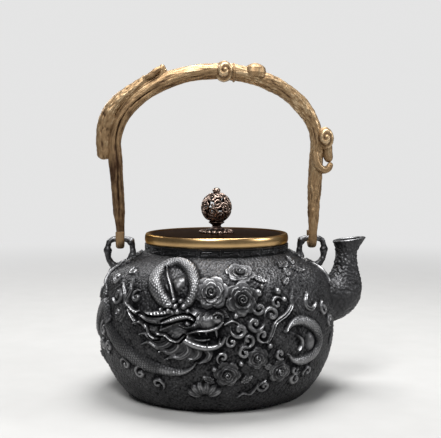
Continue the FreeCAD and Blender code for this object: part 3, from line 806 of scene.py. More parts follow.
def blossom(radius: float, height: float, seed: float) -> SpotShape:
    """A full-blown flower: rings of lobed petals with raised wavy edges round a spiral heart.

    Args:
        radius: Outer radius.
        height: Height of its heart.
        seed: Turn of its petals.

    Returns:
        Its height as a function of the distances to the right and up.
    """
    def shape(p: Array, q: Array) -> Array:
        """Each ring of petals dips inside its edge, which a lobed wave moves in and out."""
        far, turn = np.hypot(p, q) / radius, np.arctan2(q, p)
        rise = np.full(far.shape, OUTSIDE)
        for ring, (reach, lobes) in enumerate(((1.0, 6), (0.79, 5), (0.56, 4))):
            wave = np.abs(np.cos(lobes * (turn + seed + 1.1 * ring) / 2.0)) ** 0.55
            ruffle = 0.014 * np.cos(lobes * 3.0 * turn + 2.0 * ring + seed)
            slide = 0.05 * np.cos(turn - seed - 2.3 * ring)
            share = far / (reach * (0.78 + 0.22 * wave + ruffle + slide))
            cleft = 0.10 * (1.0 - wave) * share
            petal = height * ((0.50 + 0.17 * ring) * (0.50 + 0.50 * share ** 5) - cleft)
            lip = np.where(share > 0.88, 1.0 - 0.4 * ((share - 0.88) / 0.12) ** 2, 1.0)
            rise = np.where(share < 1.0, petal * lip, rise)
        whorl = height * (0.84 + 0.24 * np.cos(turn - 40.0 * far + seed))
        return np.where(far < 0.29, whorl, rise)
    return shape


def half_blossom(radius: float, height: float, petals: int) -> SpotShape:
    """A fan of rounded petals seen from the side.

    Args:
        radius: Length of the petals.
        height: Their height.
        petals: How many there are.

    Returns:
        Its height as a function of the distances to the right and up.
    """
    def shape(p: Array, q: Array) -> Array:
        """The highest of overlapping ovals that lean out from one foot."""
        rise = np.full(p.shape, OUTSIDE)
        for lean in np.linspace(-1.15, 1.15, petals):
            along = p * math.sin(lean) + (q + 0.55 * radius) * math.cos(lean)
            aside = p * math.cos(lean) - (q + 0.55 * radius) * math.sin(lean)
            far = np.hypot((along - 0.72 * radius) / (0.55 * radius), aside / (0.33 * radius))
            tall = height * (0.75 + 0.25 * math.cos(lean))
            petal = tall * (1.0 - far ** 3) - 0.3 * (np.abs(aside) < 0.25)
            rise = np.maximum(rise, np.where(far < 1.0, petal, OUTSIDE))
        return rise
    return shape


def leaf(length: float, width: float, height: float) -> SpotShape:
    """A pointed leaf along the right-hand direction: two tilted halves, a midrib and toothed edges.

    Args:
        length: Its length.
        width: Its half width.
        height: Height of its midrib.

    Returns:
        Its height as a function of the distances to the right and up.
    """
    def shape(p: Array, q: Array) -> Array:
        """Half width follows a sine along the leaf; side veins are a slanted wave."""
        along = np.clip(p / length + 0.5, 0.0, 1.0)
        half = width * np.sin(math.pi * along ** 0.8) * (0.88 + 0.12 * np.cos(TAU * 6.0 * along)) + 1e-3
        share = np.abs(q) / half
        vein = 0.16 * np.cos(TAU * (4.5 * along - 0.9 * share))
        rise = height * (0.55 + 0.45 * share ** 2) + vein + 0.3 * height * np.exp(-((q / 0.45) ** 2))
        return np.where((share < 1.0) & (np.abs(p) < length / 2.0), rise, OUTSIDE)
    return shape


@dataclass
class Ornament:
    """The pot's raised picture: a dragon among peonies, clouds and leaves.

    All spots are degrees from the picture's middle and heights above the base.

    Attributes:
        field: The heights that it is raised on.
    """

    field: ReliefField

    def strip(self, spots: list, widths: tuple, shape: StripShape, groove: float = 0.0) -> None:
        """Raises a strip through spots."""
        self.field.ribbon(self.field.marks(spots), widths, shape, groove)

    def curl(self, place: tuple, radius: float, start: float, turns: float, height: float) -> None:
        """Raises a cloud curl, a strip on a spiral whose radius shrinks evenly with its turn.

        Args:
            place: Its middle.
            radius: Its outer radius.
            start: Direction of its outer end in degrees.
            turns: Turns that it makes, below zero for the other way round.
            height: Its height.
        """
        turn, run = self.field.marks([place])[0]
        part = np.linspace(0.0, 1.0, 14)
        angle = math.radians(start) + TAU * turns * part
        far = radius * (0.14 + 1.16 * (1.0 - part) ** 1.35)
        offset = np.stack([far * np.cos(angle) / self.field.form.radius_at(run), far * np.sin(angle)], -1)
        width = 0.37 * radius
        wide = (0.1 * width, 0.6 * width, 1.0 * width, 1.1 * width, width, 1.1 * width)
        self.field.ribbon(np.array([turn, run]) + offset, wide, ridge(height))

    def flowers(self, table: tuple) -> None:
        """Raises full-blown flowers, each given by its place, radius, height and turn."""
        for place, radius, height, seed in table:
            self.field.spot(place, radius + 1.0, blossom(radius, height, seed))

    def mane(self) -> None:
        """Raises the locks that stream back from the head and its beard, on low swellings that join them."""
        for place, across, up, spin in (((-25.0, 50.0), 11.0, 7.0, 20.0), ((-14.0, 42.6), 12.0, 6.4, -16.0)):
            self.field.spot(place, 20.0, swelling(across, up, 1.3), spin, soft=0.6)
        for lock_spots, wide, height in (
            ([(-20.5, 56.0), (-26.0, 53.0), (-31.0, 53.6), (-35.6, 56.6), (-40.6, 55.2)], 3.0, 2.3),
            ([(-20.0, 53.0), (-24.6, 48.4), (-30.0, 48.2), (-33.4, 50.4), (-36.6, 49.2)], 3.2, 2.0),
            ([(-19.0, 50.6), (-21.6, 45.6), (-26.4, 43.4), (-31.0, 45.4), (-35.4, 43.2)], 2.8, 2.4),
            ([(-16.4, 48.0), (-17.0, 43.6), (-20.4, 40.6), (-24.4, 41.2), (-26.6, 39.4)], 3.3, 2.0),
            ([(-12.8, 46.8), (-12.4, 42.0), (-15.6, 38.4), (-19.6, 38.0), (-23.4, 35.8)], 2.9, 2.4),
            ([(-8.6, 45.0), (-7.6, 41.0), (-9.6, 37.8), (-12.6, 37.2)], 3.0, 1.9),
            ([(-4.6, 43.8), (-3.0, 40.6), (-4.4, 37.0), (-8.2, 34.8)], 2.6, 2.2),
        ):
            self.strip(lock_spots, (wide, wide, 0.8 * wide, 0.45 * wide, 0.3), lock(height))
        self.strip([(-34.4, 58.4), (-31.5, 54.0), (-30.5, 50.7), (-28.1, 48.3), (-25.2, 48.6)],
                   (0.4, 1.0, 1.2, 1.1, 0.4), ridge(3.2), 0.3)

    def head(self) -> None:
        """Raises the dragon's head, which looks to the right with an open mouth."""
        self.mane()
        self.strip([(-19.0, 64.0), (-27.0, 62.4), (-34.0, 61.6), (-39.6, 62.4), (-44.7, 66.0)],
                   (2.6, 2.6, 2.2, 1.5, 0.3), ringed(3.0, 2.3), 0.6)
        self.strip([(-20.0, 60.4), (-26.0, 58.8), (-31.5, 58.8), (-37.0, 61.0)],
                   (2.0, 2.6, 1.9, 0.3), lock(2.9), 0.6)
        for place, across, up, height, spin in (
            ((-17.0, 61.0), 10.0, 7.6, 3.0, 0.0), ((-16.5, 53.4), 8.0, 6.4, 2.8, 0.0),
            ((-9.5, 60.0), 9.0, 6.8, 3.8, 0.0), ((-4.0, 59.6), 8.4, 6.6, 4.6, -4.0),
            ((-13.0, 48.8), 6.4, 4.6, 2.5, 0.0), ((0.2, 61.0), 4.6, 4.6, 5.2, 0.0),
        ):
            self.field.spot(place, max(across, up) * 1.6, swelling(across, up, height), spin, soft=1.3)
        self.strip([(-15.0, 49.0), (-9.0, 45.4), (-3.0, 44.2), (1.8, 46.4), (3.6, 50.4)],
                   (2.2, 2.7, 2.6, 2.1, 0.9), ridge(3.2))
        self.field.spot((-3.4, 50.4), 9.0, pit(7.6, 3.2, 0.1, 0.02), 6.0, carve=True)
        self.strip([(-12.0, 52.6), (-8.0, 54.0), (-3.6, 54.4), (0.4, 56.2), (2.6, 59.2)],
                   (0.6, 1.2, 1.5, 1.6, 1.0), ridge(4.4))
        self.strip([(-10.5, 49.2), (-6.5, 48.3), (-2.6, 49.4)], (0.9, 1.3, 0.5), ridge(1.5))
        for turn, top, bottom, wide in (
            (-0.2, 54.4, 49.8, 1.1), (-4.4, 53.4, 51.4, 0.8), (-7.4, 53.2, 51.6, 0.8), (1.0, 46.6, 50.2, 0.9),
            (-4.0, 45.6, 47.8, 0.7),
        ):
            self.strip([(turn, top), (turn + 0.4, bottom)], (wide, 0.9 * wide, 0.2), ridge(3.3))
        for turn in (-8.6, -6.3, -4.0):
            self.strip([(turn + 1.0, 64.2), (turn - 0.5, 61.2), (turn + 0.3, 57.4)],
                       (0.5, 1.2, 0.6), ridge(4.3))
        self.strip([(2.8, 60.4), (2.4, 63.2), (0.2, 64.4), (-1.6, 63.2)], (0.6, 0.9, 1.0, 0.6), ridge(5.8))
        self.field.spot((0.7, 62.0), 2.0, pit(1.0, 0.7, 3.4), carve=True)
        self.field.spot((-12.4, 58.4), 4.0, pit(3.1, 2.3, 2.0), carve=True)
        self.field.spot((-12.3, 58.3), 3.0, lump(2.4, 2.1, 5.0))
        self.strip([(-16.0, 57.2), (-12.6, 55.9), (-9.2, 57.4)], (0.5, 0.8, 0.5), ridge(3.9))
        self.strip([(-9.6, 60.2), (-12.6, 61.8), (-17.6, 60.6), (-24.0, 57.5)],
                   (0.9, 2.0, 2.1, 0.8), ringed(4.6, 1.5), 0.4)
        self.strip([(-26.4, 55.1), (-25.7, 51.3), (-22.2, 50.7), (-19.5, 48.1), (-16.4, 47.7), (-13.5, 51.2)],
                   (0.5, 1.1, 1.2, 1.2, 1.1, 0.5), ridge(4.0), 0.4)
        for turn, height, size in (
            (-19.2, 70.8, 2.0), (-16.0, 70.6, 1.9), (-22.0, 67.8, 2.1), (-18.4, 67.4, 2.5),
            (-14.6, 67.4, 2.3), (-21.4, 64.8, 2.2), (-17.2, 64.4, 2.6), (-25.0, 65.2, 1.7),
            (-12.6, 65.0, 2.0),
        ):
            self.field.spot((turn, height), size + 1.0, lump(size, size, 4.0))
        self.strip([(3.4, 57.6), (6.6, 59.6), (9.4, 58.2), (10.2, 54.8), (13.6, 53.4)],
                   (0.8, 0.8, 0.7, 0.6, 0.3), ridge(1.6))

    def front(self) -> None:
        """Raises the near side: the looped dragon, its head, flowers, clouds and leaves."""
        self.strip([(-66.0, 62.0), (-60.7, 50.1), (-52.4, 41.7), (-43.0, 35.4), (-33.5, 31.1), (-24.1, 28.6),
                    (-16.2, 28.3), (-11.2, 31.4), (-8.6, 35.6)],
                   (2.6, 4.6, 5.4, 5.6, 5.4, 4.8, 3.6, 1.8, 0.4), scaled(1.7, 5.2, 2.0))
        self.field.spot((-18.6, 80.6), 8.0, lump(4.8, 6.6, 1.9), -20.0)
        self.field.spot((-24.0, 77.6), 7.0, lump(3.0, 5.0, 1.3), -10.0)
        self.strip([(-20.3, 66.6), (-25.8, 72.0), (-30.4, 78.1), (-33.8, 83.4), (-34.2, 87.9), (-29.6, 90.6),
                    (-22.6, 90.5), (-15.6, 87.5), (-11.4, 82.6), (-10.4, 77.0), (-12.0, 71.6), (-14.5, 67.6)],
                   (4.2, 4.7, 4.7, 4.6, 4.4, 4.0, 3.0), scaled(2.9, 4.6, 1.95), 1.0)
        self.strip([(-30.6, 87.4), (-24.8, 82.0), (-21.4, 77.6), (-19.1, 71.0)],
                   (0.35, 0.9, 1.3, 1.2), ridge(2.8), 0.6)
        self.strip([(-46.1, 80.5), (-44.8, 74.1), (-46.6, 68.1), (-43.2, 61.6), (-38.6, 55.4)],
                   (0.6, 1.5, 1.6, 1.5, 0.9), twin(1.5))
        self.strip([(-52.5, 77.6), (-48.6, 72.2), (-47.4, 66.0)], (0.4, 1.3, 1.3), twin(1.4))
        for place, radius, start, turns in (
            ((-54.0, 70.0), 5.2, 200.0, 1.4), ((-61.0, 80.0), 4.4, 20.0, -1.3),
            ((-52.0, 84.0), 4.0, 120.0, 1.3), ((10.0, 54.6), 5.2, 160.0, 1.4),
            ((17.0, 57.8), 5.4, 20.0, -1.4), ((13.6, 48.4), 4.6, 220.0, 1.3),
            ((19.4, 66.6), 4.6, 130.0, 1.4), ((25.4, 62.0), 5.0, 200.0, -1.3),
            ((28.4, 68.4), 4.2, 20.0, 1.3), ((20.4, 50.6), 4.4, 320.0, -1.4), ((6.6, 47.4), 3.8, 90.0, 1.3),
            ((29.4, 38.4), 4.0, 10.0, -1.4), ((23.0, 19.0), 4.4, 140.0, 1.4),
            ((40.0, 27.0), 3.8, 330.0, -1.3), ((-40.0, 71.0), 4.0, 60.0, 1.3),
            ((12.4, 40.6), 4.2, 40.0, 1.4), ((2.8, 38.2), 3.8, 250.0, -1.3),
            ((-38.0, 25.0), 4.8, 30.0, 1.4), ((-47.0, 28.6), 4.4, 190.0, -1.3),
            ((-29.0, 19.4), 4.4, 300.0, 1.3), ((41.0, 20.4), 4.8, 60.0, 1.4),
            ((48.6, 23.6), 4.2, 230.0, -1.3), ((61.0, 61.0), 4.6, 100.0, 1.4),
            ((67.0, 53.0), 4.4, 280.0, -1.3), ((-66.0, 47.0), 5.0, 80.0, 1.4),
            ((-60.0, 36.6), 4.6, 260.0, -1.3),
        ):
            self.curl(place, 0.86 * radius, start, 0.86 * turns, 1.7)
        self.flowers((
            ((13.1, 85.6), 9.6, 2.9, 0.3), ((11.6, 71.6), 10.4, 3.3, 1.7), ((-2.5, 76.0), 10.6, 3.4, 0.9),
            ((4.9, 27.5), 8.2, 2.8, 2.2), ((18.1, 36.9), 6.8, 2.6, 0.5), ((30.2, 27.0), 7.8, 2.7, 1.3),
            ((-51.0, 60.5), 6.2, 2.2, 0.1),
        ))
        for place, size in (
            ((19.6, 75.2), 2.7), ((29.8, 75.3), 2.5), ((21.8, 78.4), 1.7), ((8.4, 62.4), 2.0),
            ((32.6, 70.4), 1.9), ((24.0, 44.0), 2.1), ((-1.0, 31.0), 1.8), ((10.8, 34.2), 1.9),
        ):
            self.field.spot(place, size + 1.0, lump(size, size, 2.3))
        self.field.spot((-5.9, 17.2), 11.0, half_blossom(9.0, 2.5, 6), 4.0)
        self.strip([(37.9, 76.0), (36.6, 70.0), (36.0, 66.0), (32.6, 61.4), (27.1, 57.4), (24.9, 51.3),
                    (22.5, 45.8)],
                   (0.5, 1.4, 1.5, 1.5, 1.4, 0.9), twin(1.9))
        self.strip([(47.9, 73.0), (45.8, 68.4), (46.0, 64.4), (50.0, 62.4), (54.0, 65.4)],
                   (0.5, 1.4, 1.5, 1.3, 0.6), twin(1.7))
        self.field.spot((47.2, 42.6), 8.0, lump(5.0, 6.6, 2.2), 10.0)
        self.strip([(31.4, 51.0), (35.4, 55.6), (41.0, 56.8), (47.0, 54.3), (52.3, 48.9), (54.3, 41.5),
                    (51.1, 35.0), (44.1, 32.0), (37.0, 33.5), (33.4, 37.6)],
                   (0.5, 3.2, 4.1, 4.2, 4.1, 3.6, 0.6), scaled(2.5, 4.0, 2.0), 0.6)
        self.strip([(38.0, 48.6), (41.0, 45.4), (41.3, 41.8), (39.2, 38.6)], (0.4, 1.2, 1.2, 0.4), ridge(2.2))
        self.strip([(23.6, 22.4), (19.8, 19.0), (17.0, 14.0), (13.0, 14.6), (10.2, 12.0)],
                   (0.4, 0.9, 0.9, 0.8, 0.4), ridge(1.3))
        for place, length, width, spin in (
            ((47.0, 88.4), 13.0, 3.6, 20.0), ((54.0, 85.0), 12.0, 3.4, -30.0),
            ((42.0, 84.4), 9.0, 2.8, 70.0), ((58.5, 89.6), 10.0, 3.0, 60.0), ((36.6, 80.4), 8.0, 2.5, 35.0),
            ((3.0, 63.8), 8.0, 2.6, -30.0), ((22.6, 82.0), 9.0, 2.8, -35.0),
            ((-12.6, 38.0), 8.0, 2.5, 200.0), ((14.0, 24.4), 8.0, 2.6, 30.0),
            ((-3.6, 24.4), 8.0, 2.6, 150.0), ((24.0, 31.0), 7.0, 2.3, -25.0),
            ((11.6, 45.0), 7.0, 2.2, 60.0), ((-66.0, 61.0), 10.0, 3.0, 80.0),
            ((-70.0, 70.0), 10.0, 3.0, 120.0), ((70.0, 40.0), 9.0, 2.8, 60.0),
        ):
            self.field.spot(place, length, leaf(length, width, 1.3), spin)
        self.head()

    def back(self) -> None:
        """Raises the far side: the dragon's other coils among more flowers, clouds and leaves."""
        self.strip([(104.0, 34.0), (116.0, 52.0), (128.0, 68.0), (142.0, 78.0), (156.0, 72.0), (164.0, 56.0),
                    (174.0, 42.0), (190.0, 38.0), (204.0, 50.0), (212.0, 66.0), (226.0, 76.0), (240.0, 68.0),
                    (250.0, 52.0), (262.0, 40.0)],
                   (0.5, 4.2, 4.6, 4.6, 4.6, 4.4, 4.4, 4.0), scaled(2.3, 4.4, 2.0))
        self.strip([(258.0, 43.6), (263.0, 39.4), (269.0, 38.4), (277.0, 45.0), (284.0, 55.0), (290.0, 61.6),
                    (295.0, 61.6), (299.4, 54.0)], (3.0, 4.4, 4.4, 4.4, 4.4, 4.6), scaled(2.2, 4.4, 2.0))
        self.flowers((
            ((140.0, 60.0), 9.0, 2.2, 0.4), ((184.0, 58.0), 10.0, 2.4, 1.2), ((178.0, 80.0), 9.4, 2.2, 2.0),
            ((228.0, 56.0), 9.2, 2.2, 0.8), ((150.0, 30.0), 8.4, 2.0, 1.6), ((214.0, 28.0), 8.4, 2.0, 0.2),
            ((120.0, 28.0), 7.0, 1.8, 2.4), ((246.0, 26.0), 7.0, 1.8, 1.0), ((279.0, 27.0), 8.0, 2.0, 0.7),
            ((198.0, 78.0), 7.6, 2.0, 0.6),
        ))
        for turn, height, radius, start in (
            (108.0, 62.0, 3.8, 10.0), (118.0, 74.0, 3.4, 90.0), (130.0, 44.0, 3.8, 200.0),
            (150.0, 48.0, 3.4, 40.0), (163.0, 84.0, 3.4, 300.0), (170.0, 66.0, 3.6, 120.0),
            (196.0, 64.0, 3.6, 220.0), (200.0, 24.0, 3.8, 60.0), (182.0, 24.0, 3.8, 180.0),
            (236.0, 84.0, 3.4, 20.0), (216.0, 44.0, 3.6, 140.0), (252.0, 70.0, 3.6, 260.0),
            (266.0, 56.0, 3.8, 30.0), (268.0, 22.0, 3.6, 120.0), (292.0, 36.0, 3.6, 220.0),
            (276.0, 66.0, 3.6, 200.0), (166.0, 18.0, 3.4, 80.0), (232.0, 40.0, 3.4, 310.0),
            (136.0, 20.0, 3.4, 170.0),
        ):
            self.curl((turn, height), radius, start, 1.6 if start < 150.0 else -1.6, 1.6)
        for turn, height, length, spin in (
            (126.0, 86.0, 11.0, 20.0), (148.0, 86.0, 10.0, 150.0), (212.0, 86.0, 11.0, 30.0),
            (248.0, 86.0, 10.0, 140.0), (160.0, 42.0, 9.0, 60.0), (204.0, 40.0, 8.0, 110.0),
            (112.0, 44.0, 9.0, -40.0), (258.0, 30.0, 9.0, 40.0),
        ):
            self.field.spot((turn, height), length, leaf(length, 0.28 * length, 1.3), spin)

    def lug_roots(self) -> None:
        """Raises leaves and knots round the feet of the two ring lugs."""
        for turn in (90.0, 270.0):
            at = turn - self.field.middle
            for step, height, length, spin in (
                (-9.0, 87.6, 9.0, 30.0), (9.0, 87.6, 9.0, 150.0), (-6.5, 91.4, 8.0, -10.0),
                (6.5, 91.4, 8.0, 190.0),
            ):
                self.field.spot((at + step, height), length, leaf(length, 2.5, 1.7), spin)
            self.field.spot((at, 89.0), 6.0, lump(3.6, 3.0, 2.4))
            for hand in (-1.0, 1.0):
                root = [(at + hand * 3.0, 84.6), (at + hand * 9.0, 80.0), (at + hand * 12.0, 74.0)]
                self.strip(root, (2.2, 1.6, 0.7), ridge(2.0))
            self.strip([(at, 86.0), (at, 82.4)], (3.0, 2.2), ridge(1.8))

    def build(self) -> Array:
        """Raises the whole picture.

        Returns:
            Heights over the plain iron.
        """
        self.back()
        self.front()
        self.lug_roots()
        return self.field.rise


@dataclass
class PotCasting:
    """The pot's outer skin, closed rings that are sunk in the iron, with all raised work on them.

    Attributes:
        form: The pot that carries it.
        columns: Points round a ring.
        sunk: Depth of the rings' hidden backs.
        stand: Height of the plain ground over the iron.
        frets: Panels of the fret round the neck.
        belly_rows: Rows of points below the neck.
        neck_rows: Rows of points on the neck.
        back_rows: Rows of points on a ring's hidden back.
        first_run: Run of the first row, on the base's rounded edge.
        bare_rim: Length of the neck that stays bare below the rim.
        spout_gap: Half angle in degrees of the gap for the spout in the ring round the belly.
        pebble: Edge of the cells that the pebbled ground is strewn in.
        pebble_height: Height of the pebbles.
    """

    form: PotForm
    columns: int = 1120
    sunk: float = 1.2
    stand: float = 0.22
    frets: int = 22
    belly_rows: int = 288
    neck_rows: int = 34
    back_rows: int = 6
    first_run: float = 4.5
    bare_rim: float = 1.9
    spout_gap: float = 9.5
    pebble: float = 1.5
    pebble_height: float = 0.95

    def turns(self) -> Array:
        """Turns of the columns from the spout round to the spout, closer together on the front."""
        fine = np.radians(np.linspace(90.0, 450.0, 3601))
        weight = 1.0 + 0.9 * ramp(np.cos(fine - math.radians(357.0)), -0.1, 0.35)
        share = np.append(0.0, np.cumsum((weight[1:] + weight[:-1]) / 2.0))
        return np.interp(np.arange(self.columns) / self.columns * share[-1], share, fine)

    def fret(self, turns: Array, runs: Array) -> Array:
        """A key fret on the neck: framed panels, each with a hooked line, as a height in millimetres.

        Args:
            turns: Turns of the columns.
            runs: Runs of the rows.

        Returns:
            Rows by columns.
        """
        neck_height = self.form.rim - self.form.neck_foot
        up = (runs[:, None] - self.form.run_at(self.form.neck_foot)) / neck_height
        wide = TAU * self.form.neck / self.frets
        across = (turns * self.frets / TAU % 1.0 - 0.5) * wide
        tall = (up - 0.36) * neck_height

        def line(distance: Array) -> Array:
            """A ridge with a flat top where a distance is nought."""
            return np.clip(1.2 - np.abs(distance) / 0.34, 0.0, 1.0)

        border = np.maximum(np.abs(across) - 5.7, np.abs(tall) - 1.6)
        inner = np.maximum(np.abs(across) - 4.6, np.abs(tall) - 0.8)
        broken = np.where((across * tall > 0.0) & (np.abs(across) > 1.2), 0.0, 1.0)
        hooks = np.maximum(line(border), line(inner) * broken)
        rail = line(np.abs(tall) - 2.25)
        return 0.8 * np.maximum(np.maximum(hooks, rail), line(across) * (np.abs(tall) < 0.85))

    def build(self, iron: bpy.types.Material) -> None:
        """Makes the rings.

        Args:
            iron: Their material.
        """
        form, turns = self.form, self.turns()
        foot = form.run_at(form.neck_foot)
        runs = np.concatenate([
            np.linspace(self.first_run, foot - 0.4, self.belly_rows),
            np.linspace(foot, form.runs[-1] - self.bare_rim, self.neck_rows),
        ])
        field = ReliefField(form, turns, runs)
        picture = Ornament(field).build()
        near_neck = ramp(runs, foot - 16.0, foot - 2.0)[:, None]
        pebble = np.clip(0.62 - pebbles(field.base, self.pebble), -0.3, 0.5)
        ground = pebble * (self.pebble_height - 0.5 * near_neck) + 0.35 * (soft_noise(field.base, 7.0) - 0.5)
        calm = 1.0 - 0.82 * ramp(picture, 0.0, 0.7)
        below = (runs < foot - 0.2)[:, None]
        rise = self.stand + np.maximum(picture, 0.0) + ground * calm * below
        rise = rise + np.where(below, 0.0, self.fret(turns, runs))
        # Painted shade and highlight: a point's ridge value is its rise less the mean rise round it, like
        # ambient occlusion, so hollows in the raised work are painted dark and tops light, over the iron's
        # own tarnish.
        shifts = (-10, -6, -3, 3, 6, 10)
        around = sum(np.roll(rise, shift, axis) for axis in (0, 1) for shift in shifts) / (2.0 * len(shifts))
        height = np.clip(0.40 + 0.62 * (rise - around) + 0.06 * np.maximum(picture, 0.0), 0.0, 1.0)
        gap = math.radians(self.spout_gap)
        free = (turns > math.pi / 2.0 + gap) & (turns < 2.5 * math.pi - gap)
        for name, low, high in (
            ("skin_foot", 0.0, 31.0), ("skin_lower_belly", 31.0, 58.0), ("skin_upper_belly", 58.0, 80.0),
            ("skin_shoulder", 80.0, 104.0), ("skin_neck", 104.0, 130.0),
        ):
            first = max(np.searchsorted(runs, low) - 1, 0)
            rows = slice(first, np.searchsorted(runs, high))
            outer = form.place(turns, runs[rows, None], rise[rows])
            back = np.linspace(runs[rows][-1], runs[rows][0], self.back_rows)
            inner = form.place(turns, back[:, None], -self.sunk)
            points = np.concatenate([outer, inner])
            shade = np.concatenate([height[rows], np.zeros(inner.shape[:2])])
            sheet = Sheet(points, True, shade)
            if name == "skin_upper_belly":
                sheet = Sheet(points[:, free].transpose(1, 0, 2), False, shade[:, free].T)
            add_piece(name, [sheet], Body.KETTLE, iron)


@dataclass
class SpoutCasting:
    """The upturned spout: oval sections along a cubic curve, pebbled outside and bored through.

    Attributes:
        form: The pot that carries it.
        corners: The curve's four corners as (distance from the axis, height).
        shares: Places of the widths along the curve.
        widths: Widths of the sections.
        flat: Depth of a section as a share of its width.
        wall: Thickness of the wall.
        beak: How far the mouth's outer side is drawn out.
        mouth: Share of the curve at which the mouth begins.
        heading: Direction of the mouth in degrees from level.
        root: Share of the curve at which the iron begins.
        pebble: Edge of the cells that the pebbled skin is strewn in.
        pebble_height: Height of the pebbles.
        columns: Points round a section.
    """

    form: PotForm
    corners: tuple = ((62.0, 60.5), (96.0, 60.5), (84.63, 79.96), (89.0, 100.5))
    shares: tuple = (0.0, 0.22, 0.38, 0.52, 0.66, 0.83, 0.93, 1.0)
    widths: tuple = (35.0, 33.6, 30.0, 23.4, 17.4, 14.2, 16.2, 20.4)
    flat: float = 0.88
    wall: float = 2.5
    beak: float = 1.9
    mouth: float = 0.86
    heading: float = 97.0
    root: float = 0.1
    pebble: float = 2.0
    pebble_height: float = 1.1
    columns: int = 144

    def rows(self, share: Array, inset: Array | float, turns: Array) -> Array:
        """Oval rings at shares of the curve, moved inwards by an inset.

        Args:
            share: Places along the curve.
            inset: Distance inwards, per row or per row and column.
            turns: Angles round a ring, 0 on the outer side.

        Returns:
            Rows by columns by three.
        """
        start, heel, knee, tip = (np.array(corner) for corner in self.corners)
        part = share[:, None]
        rest = 1.0 - part
        middle = (
            start * rest ** 3 + 3.0 * heel * rest ** 2 * part + 3.0 * knee * rest * part ** 2
            + tip * part ** 3
        )
        ahead = (heel - start) * rest ** 2 + 2.0 * (knee - heel) * rest * part + (tip - knee) * part ** 2
        heading = np.arctan2(ahead[:, 1], ahead[:, 0])
        heading += ramp(share, self.mouth, 1.0) * (math.radians(self.heading) - heading)
        curve = spline(list(zip(self.shares, self.widths)), 200)
        half = np.interp(share, curve[:, 0], curve[:, 1])[:, None] / 2.0
        inset = np.asarray(inset, float).reshape(-1, 1) if np.ndim(inset) < 2 else inset
        across = (half - inset) * np.cos(turns)
        deep = (half * self.flat - inset) * np.sin(turns)
        x = middle[:, :1] + np.sin(heading)[:, None] * across
        z = middle[:, 1:] - np.cos(heading)[:, None] * across
        return np.stack([x, deep + 0.0 * x, z], -1)

    def drawn(self, share: Array, turns: Array) -> Array:
        """How far the beak draws the mouth out, most on its outer side, by an exponential of a cosine."""
        return self.beak * ramp(share, self.mouth, 1.0)[:, None] * np.exp(2.0 * (np.cos(turns) - 1.0))

    def build(self, iron: bpy.types.Material) -> None:
        """Makes the spout.

        Args:
            iron: Its material.
        """
        turns = round_turns(self.columns)
        share = np.linspace(self.root, 1.0, 170)
        smooth = 1.0 - 0.75 * ramp(share, 0.9, 1.0)
        grains = pebbles(self.rows(share, 0.0, turns), self.pebble, 5)
        pebble = np.clip(0.6 - grains, -0.35, 0.45) * smooth[:, None]
        beak = self.drawn(share, turns)
        outer = self.rows(share, -self.pebble_height * pebble - beak, turns)
        lip_turn = np.linspace(0.0, math.pi, 8)[1:-1]
        fold = self.wall / 2.0 * (1.0 - np.cos(lip_turn))
        lip = self.rows(np.ones(len(fold)), fold[:, None] - beak[-1], turns)
        lip += np.array([-0.12, 0.0, 0.99]) * (0.8 * np.sin(lip_turn))[:, None, None]
        inward = np.linspace(1.0, self.root, 60)
        bore = self.rows(inward, self.wall - self.drawn(inward, turns), turns)
        points = self.form.pushed_out(np.concatenate([outer, lip, bore]), 1.6)
        # Painted shade: the bore gets a ridge value near 0, so it is painted dark as if in shadow; the pebble
        # tops and the lip are lighter.
        shade = np.concatenate([
            0.40 + 0.42 * pebble, np.full(lip.shape[:2], 0.8), np.full(bore.shape[:2], 0.05),
        ])
        add_piece("spout_casting", [Sheet(points, True, shade)], Body.KETTLE, iron, ("spout",))


@dataclass
class RingLug:
    """An iron ring like a bent twig on the shoulder, with a plain straight top for the bail's hook.

    Attributes:
        name: Name of the piece.
        node: The node that it stands for.
        facing: 1 on the spout's side, -1 on the side away from it.
        reach: Distance of its straight top's middle from the axis.
        pin_height: Height of the straight top.
        half_pin: Half the length of the straight top.
        bend: Radius of its upper corners.
        side: Length of its straight outer side.
        wire: Radius of the plain section.
        foot: Depth of its inner foot below the straight top.
        steps: Rows of points along it.
    """

    name: str
    node: str
    facing: float
    reach: float = 64.4
    pin_height: float = 101.7
    half_pin: float = 3.1
    bend: float = 5.2
    side: float = 5.0
    wire: float = 1.8
    foot: float = 14.4
    steps: int = 120

    def build(self, iron: bpy.types.Material) -> None:
        """Makes the ring: a round section along lines and arcs, swollen at its feet and in small knots.

        Args:
            iron: Its material.
        """
        corner, sweep = self.pin_height - self.bend, self.half_pin + self.bend
        path = even(np.concatenate([
            [(self.reach - sweep, self.pin_height - self.foot)],
            arc((self.reach - self.half_pin, corner), self.bend, 180.0, 90.0, 16),
            arc((self.reach + self.half_pin, corner), self.bend, 90.0, 0.0, 16),
            arc((self.reach, corner - self.side), sweep, 0.0, -100.0, 24),
        ]), self.steps)
        along = np.linspace(0.0, 1.0, self.steps)
        points = np.stack([path[:, 0], np.zeros(self.steps), path[:, 1]], -1)
        bare = np.exp(-((path[:, 0] - self.reach) / 4.6) ** 4) * (path[:, 1] > self.pin_height - 1.0)
        turns = round_turns(28)
        side = np.tile([0.0, 1.0, 0.0], (self.steps, 1))
        ring = tube(points, side, np.ones(self.steps), np.ones(self.steps), turns)
        knots = 0.9 * np.exp(-((along - 0.25) / 0.035) ** 2) + 1.0 * np.exp(-((along - 0.66) / 0.035) ** 2)
        feet = 1.5 * np.exp(-(along / 0.10) ** 2) + 1.2 * np.exp(-((along - 1.0) / 0.12) ** 2)
        rough = 0.9 * (soft_noise(ring, 1.6, 3) - 0.4)
        radius = self.wire + (1.0 - bare)[:, None] * (rough + (knots + feet)[:, None])
        shape = tube(points, side, radius, radius, turns)
        shade = np.clip(0.6 + 0.5 * rough + 0.3 * bare[:, None], 0.0, 1.0)
        shape[..., :2] *= self.facing
        add_piece(self.name, [Sheet(shape, False, shade)], Body.KETTLE, iron, (self.node,))


# The bail


